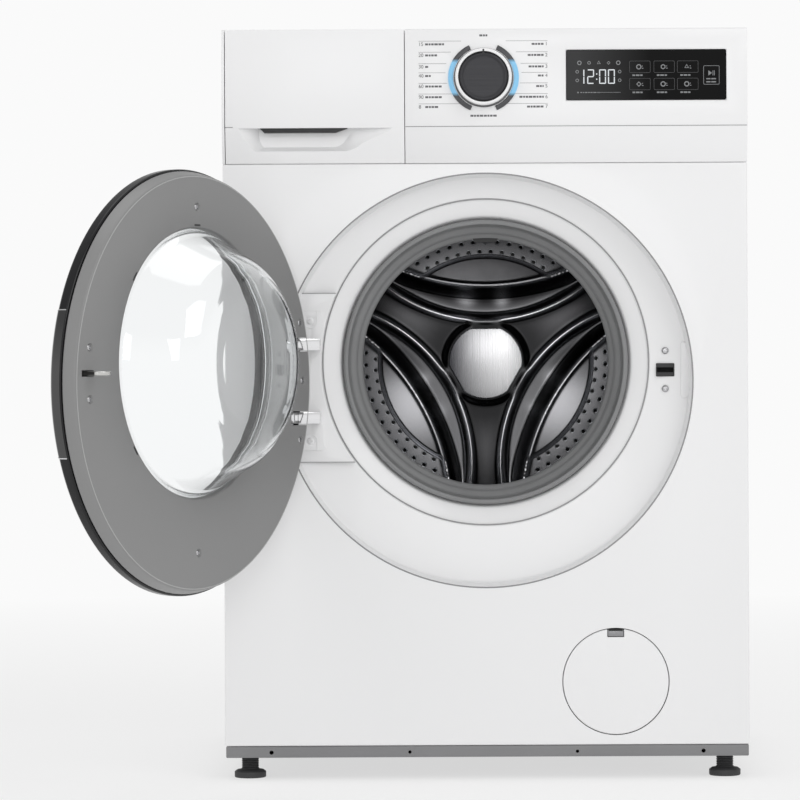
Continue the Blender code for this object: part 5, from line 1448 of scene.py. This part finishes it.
        # painted highlight along the outer curve
        rim = 0.55 * bump_at(first - 0.0012, 0.0014)
        across = ease((v + 0.09) / 0.18)
        panel = (0.05 + 0.05 * across) * (1 - low) + (0.12 + 0.34 * bump_at(v, 0.045)) * low
        band = 0.26 + 0.10 * across
        inside = panel + (band - panel) * ease((r - 0.1285) / 0.0025)
        inside *= 1 - 0.75 * ease((r - 0.158) / 0.006)
        if first < 0:
            return inside + rim
        return (hollow if second < 0 else arm) + bead + rim

    def back(self):
        """Polar sheet shaped by the press, each point keeping its painted reflection and shade
        level.
        """
        rings = 130
        steps = 360
        edge = DRUM_R - 0.0014
        bm = bmesh.new()
        verts = [bm.verts.new((edge * (i / rings) ** 0.85, 0, 0)) for i in range(1, rings + 1)]
        edges = [bm.edges.new(pair) for pair in zip(verts, verts[1:])]
        bmesh.ops.spin(bm, geom=verts + edges, cent=(0, 0, 0), axis=(0, 0, 1), dvec=(0, 0, 0),
                       angle=math.tau, steps=steps, use_merge=True, use_duplicate=False)
        bmesh.ops.remove_doubles(bm, verts=bm.verts, dist=1e-7)
        rim = [e for e in bm.edges if e.is_boundary and e.verts[0].co.length < 0.01]
        bmesh.ops.holes_fill(bm, edges=rim, sides=0)
        painted_reflection = bm.verts.layers.float_color.new("painted_reflection")
        for v in bm.verts:
            x, z = v.co.x, v.co.y
            # painted reflection and shade level of this point
            level = self.tone(x, z)
            v[painted_reflection] = (level, level, level * 1.04, 1)
            v.co = (x, BACK_SHEET_Y - self.height(x, z), z + AXIS_Z)
        bmesh.ops.recalc_face_normals(bm, faces=bm.faces)
        if bm.faces[:][0].normal.y > 0:
            bmesh.ops.reverse_faces(bm, faces=bm.faces)
        back = piece("drum_pressing", bm, "pressed steel with painted reflections", "drum",
                     ("drum_back",), angle=70)
        wall = back.modifiers.new("sheet", "SOLIDIFY")
        wall.thickness = 0.0009
        wall.offset = -1
        self.punched_holes()

    def punched_holes(self):
        """Holes with a raised rim, in two staggered arcs on each panel; black discs in them are
        painted shade for the dark inside the holes.
        """
        rims = []
        hole_shades = []
        for panel in (90, 210, 330):
            for radius, count in ((0.1362, 12), (0.1478, 13)):
                for i in range(count):
                    a = math.radians(panel + (i - (count - 1) / 2) * 5.75)
                    x = radius * math.cos(a)
                    z = radius * math.sin(a)
                    y = BACK_SHEET_Y - self.height(x, z)
                    rims.append(spun(rounded([(0.0022, y + 0.0004), (0.0022, y - 0.0005),
                                              (0.0030, y - 0.0007), (0.0036, y + 0.0004)], 0.0003,
                                              2),
                                     (x, 0, z + AXIS_Z), 16))
                    hole_shades.append(plug(0.0023, y - 0.0001, y + 0.0003, x, z + AXIS_Z, 16))
        piece("punched_rims", joined(*rims), "drum mirror", "drum")
        piece("punched_hole_shade", joined(*hole_shades), "handle black", "drum")

    def hub(self):
        """Brushed disc with three flats where the pressed curves pass."""
        y = BACK_SHEET_Y - 0.0025
        outline = []
        for i in range(180):
            a = math.tau * i / 180
            off = abs((math.degrees(a) - 90 + 60) % 120 - 60)
            r = min(0.0455, 0.0416 / math.cos(math.radians(off)))
            outline.append((r * math.cos(a), AXIS_Z + r * math.sin(a)))
        disc = prism(outline, y - 0.0046, y + 0.001, bevel=0.0014, segments=3)
        piece("hub_disc", disc, "hub disc", "drum")

    def lifters(self):
        for i in range(3):
            node = "lifter_%d" % (i + 1)
            rib = soften(shape_of(node), 0.007, 4, 25)
            piece(node + "_moulding", rib, "lifter", "drum", (node,), angle=40)


def ease(t):
    t = min(max(t, 0.0), 1.0)
    return t * t * (3 - 2 * t)


def bump_at(distance, width):
    return math.exp(-(distance / width) ** 2)


class WASHER_OT_filter(Operator):
    """Filter flap with its tab, the filter cap and the pump"""

    bl_idname = "washer.filter"
    bl_label = "Filter"
    bl_options = {"REGISTER", "UNDO"}

    def execute(self, context):
        low, high = local("filter_flap")
        radius = (high.x - low.x) / 2
        y0 = low.y
        y1 = high.y
        disc = spun(rounded([(0, y0), (radius - 0.0008, y0), (radius, y0 + 0.0009), (radius, y1),
                             (radius - 0.002, y1)], 0.0006, 3, closed=False) + [(0, y1)],
                    (FLAP.x, 0, FLAP.z), 128, closed=False)
        top = FLAP.z + radius
        notch = block((FLAP.x - 0.0096, FLAP.x + 0.0096), (-0.01, 0.01), (top - 0.0098, top + 0.01),
                      0.0008)
        piece("flap_disc", cut_by(disc, notch), "moulded white", "flap",
              ("filter_flap",), angle=28)
        tab = block((FLAP.x - 0.0091, FLAP.x + 0.0091), (y0 + 0.0006, y1),
                    (top - 0.0093, top - 0.0010),
                    0.0009, 3)
        piece("flap_tab", tab, "tab metal", "flap")
        slot_bar = block((FLAP.x - 0.0080, FLAP.x + 0.0080), (y0 - 0.0001, y0 + 0.0010),
                         (top - 0.0030, top - 0.0012), 0.0003)
        piece("flap_tab_slot", slot_bar, "lock black", "flap")
        cap = soften(shape_of("pump_filter"), 0.0008, 2)
        piece("filter_cap", cap, "filter grey", "filter", ("pump_filter",))
        dress("pale plastic", "drain_pump")
        return {"FINISHED"}


class WASHER_OT_inside(Operator):
    """Finishes of the tub, motor, springs and the fittings at the back"""

    bl_idname = "washer.inside"
    bl_label = "Inside and rear fittings"
    bl_options = {"REGISTER", "UNDO"}

    def execute(self, context):
        dress("tub plastic", "tub_front", "tub_rear")
        dress("cast iron", "counterweight_top", "counterweight_front")
        dress("brushed steel", "heater", "bearing_front", "bearing_rear", "damper_rod_left",
              "damper_rod_right", "spring_left", "spring_right", "motor_rotor")
        dress("lock black", "shaft_seal")
        dress("cast alloy", "motor_housing")
        dress("belt rubber", "drive_belt")
        dress("grey plastic", "damper_tube_left", "damper_tube_right")
        valve = soften(shape_of("inlet_valve"), 0.0006, 2)
        piece("inlet_valve_body", valve, "pale plastic", "cabinet", ("inlet_valve",))
        gland = soften(shape_of("mains_gland"), 0.0006, 2)
        piece("gland_moulding", gland, "lock black", "cabinet", ("mains_gland",))
        return {"FINISHED"}


class WASHER_OT_stage(Operator):
    """Pale floor, soft boxes, sky and the camera"""

    bl_idname = "washer.stage"
    bl_label = "Stage"
    bl_options = {"REGISTER", "UNDO"}

    def execute(self, context):
        settings = context.scene.washer_stage
        context.scene.view_settings.view_transform = "Standard"
        self.floor()
        self.sky(context)
        self.lights(settings)
        self.camera(context, settings)
        return {"FINISHED"}

    horizon = 0.957

    def floor(self):
        """Round pale floor that meets the sky's tone well away from the machine."""
        bm = bmesh.new()
        bmesh.ops.create_circle(bm, cap_ends=True, segments=128, radius=60)
        ob = as_object("studio_floor", bm)
        pale = finish("studio pale", (0.35, 0.35, 0.352), 0.9, 0.0, 0.0, (30, 0.02, 0.001))
        tree = pale.node_tree
        shader = shader_of(pale)
        shader.inputs["Specular IOR Level"].default_value = 0.0
        shader.inputs["Emission Color"].default_value = (1, 1, 1, 1)
        place = add_node(tree, "TexCoord")
        reach = tree.nodes.new("ShaderNodeVectorMath")
        reach.operation = "LENGTH"
        tree.links.new(place.outputs["Object"], reach.inputs[0])
        for near, far, goal in ((0.60, self.horizon, "Emission Strength"),
                                (0.35, 0.0, "Base Color")):
            spread = add_node(tree, "MapRange", {"From Min": 0.9, "From Max": 3.5, "To Min": near,
                                                 "To Max": far}, {"Value": reach.outputs["Value"]})
            tree.links.new(spread.outputs["Result"], shader.inputs[goal])
        ob.data.materials.append(pale)

    def sky(self, context):
        """Even sky, brightest in a band at the horizon."""
        world = bpy.data.worlds.new("studio sky")
        world.use_nodes = True
        tree = world.node_tree
        place = add_node(tree, "TexCoord")
        split = add_node(tree, "SeparateXYZ", links={"Vector": place.outputs["Generated"]})
        level = add_node(tree, "MapRange", {"From Min": 0.12, "From Max": 0.45,
                                            "To Min": self.horizon, "To Max": 0.50},
                         {"Value": split.outputs["Z"]})
        backdrop = tree.nodes["Background"]
        tree.links.new(level.outputs["Result"], backdrop.inputs["Strength"])
        backdrop.inputs["Color"].default_value = (1.0, 1.0, 1.0, 1)
        context.scene.world = world

    def lights(self, settings):
        boxes = (
            ("key", (2.4, -3.4, 3.2), 2.4, 40),
            ("fill", (-2.8, -3.2, 2.4), 2.2, 12),
            ("front", (0.0, -5.5, 1.6), 1.8, 20),
            ("top", (0.0, 0.3, 4.2), 3.0, 34),
        )
        for name, place, size, power in boxes:
            light = bpy.data.lights.new(name, "AREA")
            light.size = size
            light.energy = power * settings.light
            ob = bpy.data.objects.new(name, light)
            ob.location = place
            aim = Vector((0, 0.0, 0.45)) - Vector(place)
            ob.rotation_euler = aim.to_track_quat("-Z", "Y").to_euler()
            bpy.context.scene.collection.objects.link(ob)

    def camera(self, context, settings):
        data = bpy.data.cameras.new("camera")
        data.lens = settings.lens
        data.sensor_width = 36
        data.shift_x = -0.10715
        data.shift_y = -0.04875
        data.clip_end = 60
        ob = bpy.data.objects.new("camera", data)
        ob.location = ORIGIN + Vector((0, -settings.distance, 0.474))
        roll = Matrix.Rotation(math.radians(0.27), 4, "Y")
        ob.rotation_euler = (roll @ Matrix.Rotation(math.pi / 2, 4, "X")).to_euler()
        context.scene.collection.objects.link(ob)
        context.scene.camera = ob


class WASHER_PT_panel(Panel):
    """Lists the makers in the order they run"""

    bl_idname = "WASHER_PT_panel"
    bl_label = "Washing machine"
    bl_space_type = "VIEW_3D"
    bl_region_type = "UI"
    bl_category = "Washer"

    def draw(self, context):
        layout = self.layout
        for group in (context.scene.washer_finish, context.scene.washer_size,
                      context.scene.washer_stage):
            for name in group.bl_rna.properties.keys():
                if name not in ("rna_type", "name"):
                    layout.prop(group, name)
        for maker in MAKERS:
            layout.operator(maker.bl_idname)


MAKERS = (
    WASHER_OT_cabinet, WASHER_OT_front, WASHER_OT_fascia, WASHER_OT_dial, WASHER_OT_display,
    WASHER_OT_door, WASHER_OT_hinge, WASHER_OT_seal, WASHER_OT_drum, WASHER_OT_filter,
    WASHER_OT_inside, WASHER_OT_stage,
)
GROUPS = (WASHER_PG_finish, WASHER_PG_size, WASHER_PG_stage)


def register():
    for cls in GROUPS + MAKERS + (WASHER_PT_panel,):
        bpy.utils.register_class(cls)
    bpy.types.Scene.washer_finish = PointerProperty(type=WASHER_PG_finish)
    bpy.types.Scene.washer_size = PointerProperty(type=WASHER_PG_size)
    bpy.types.Scene.washer_stage = PointerProperty(type=WASHER_PG_stage)


def unregister():
    for name in ("washer_finish", "washer_size", "washer_stage"):
        delattr(bpy.types.Scene, name)
    for cls in reversed(GROUPS + MAKERS + (WASHER_PT_panel,)):
        bpy.utils.unregister_class(cls)


def main():
    register()
    make_looks(bpy.context)
    for maker in MAKERS:
        module, name = maker.bl_idname.split(".")
        if getattr(getattr(bpy.ops, module), name)() != {"FINISHED"}:
            raise RuntimeError(maker.bl_idname + " didn't finish")


if __name__ == "__main__":
    main()
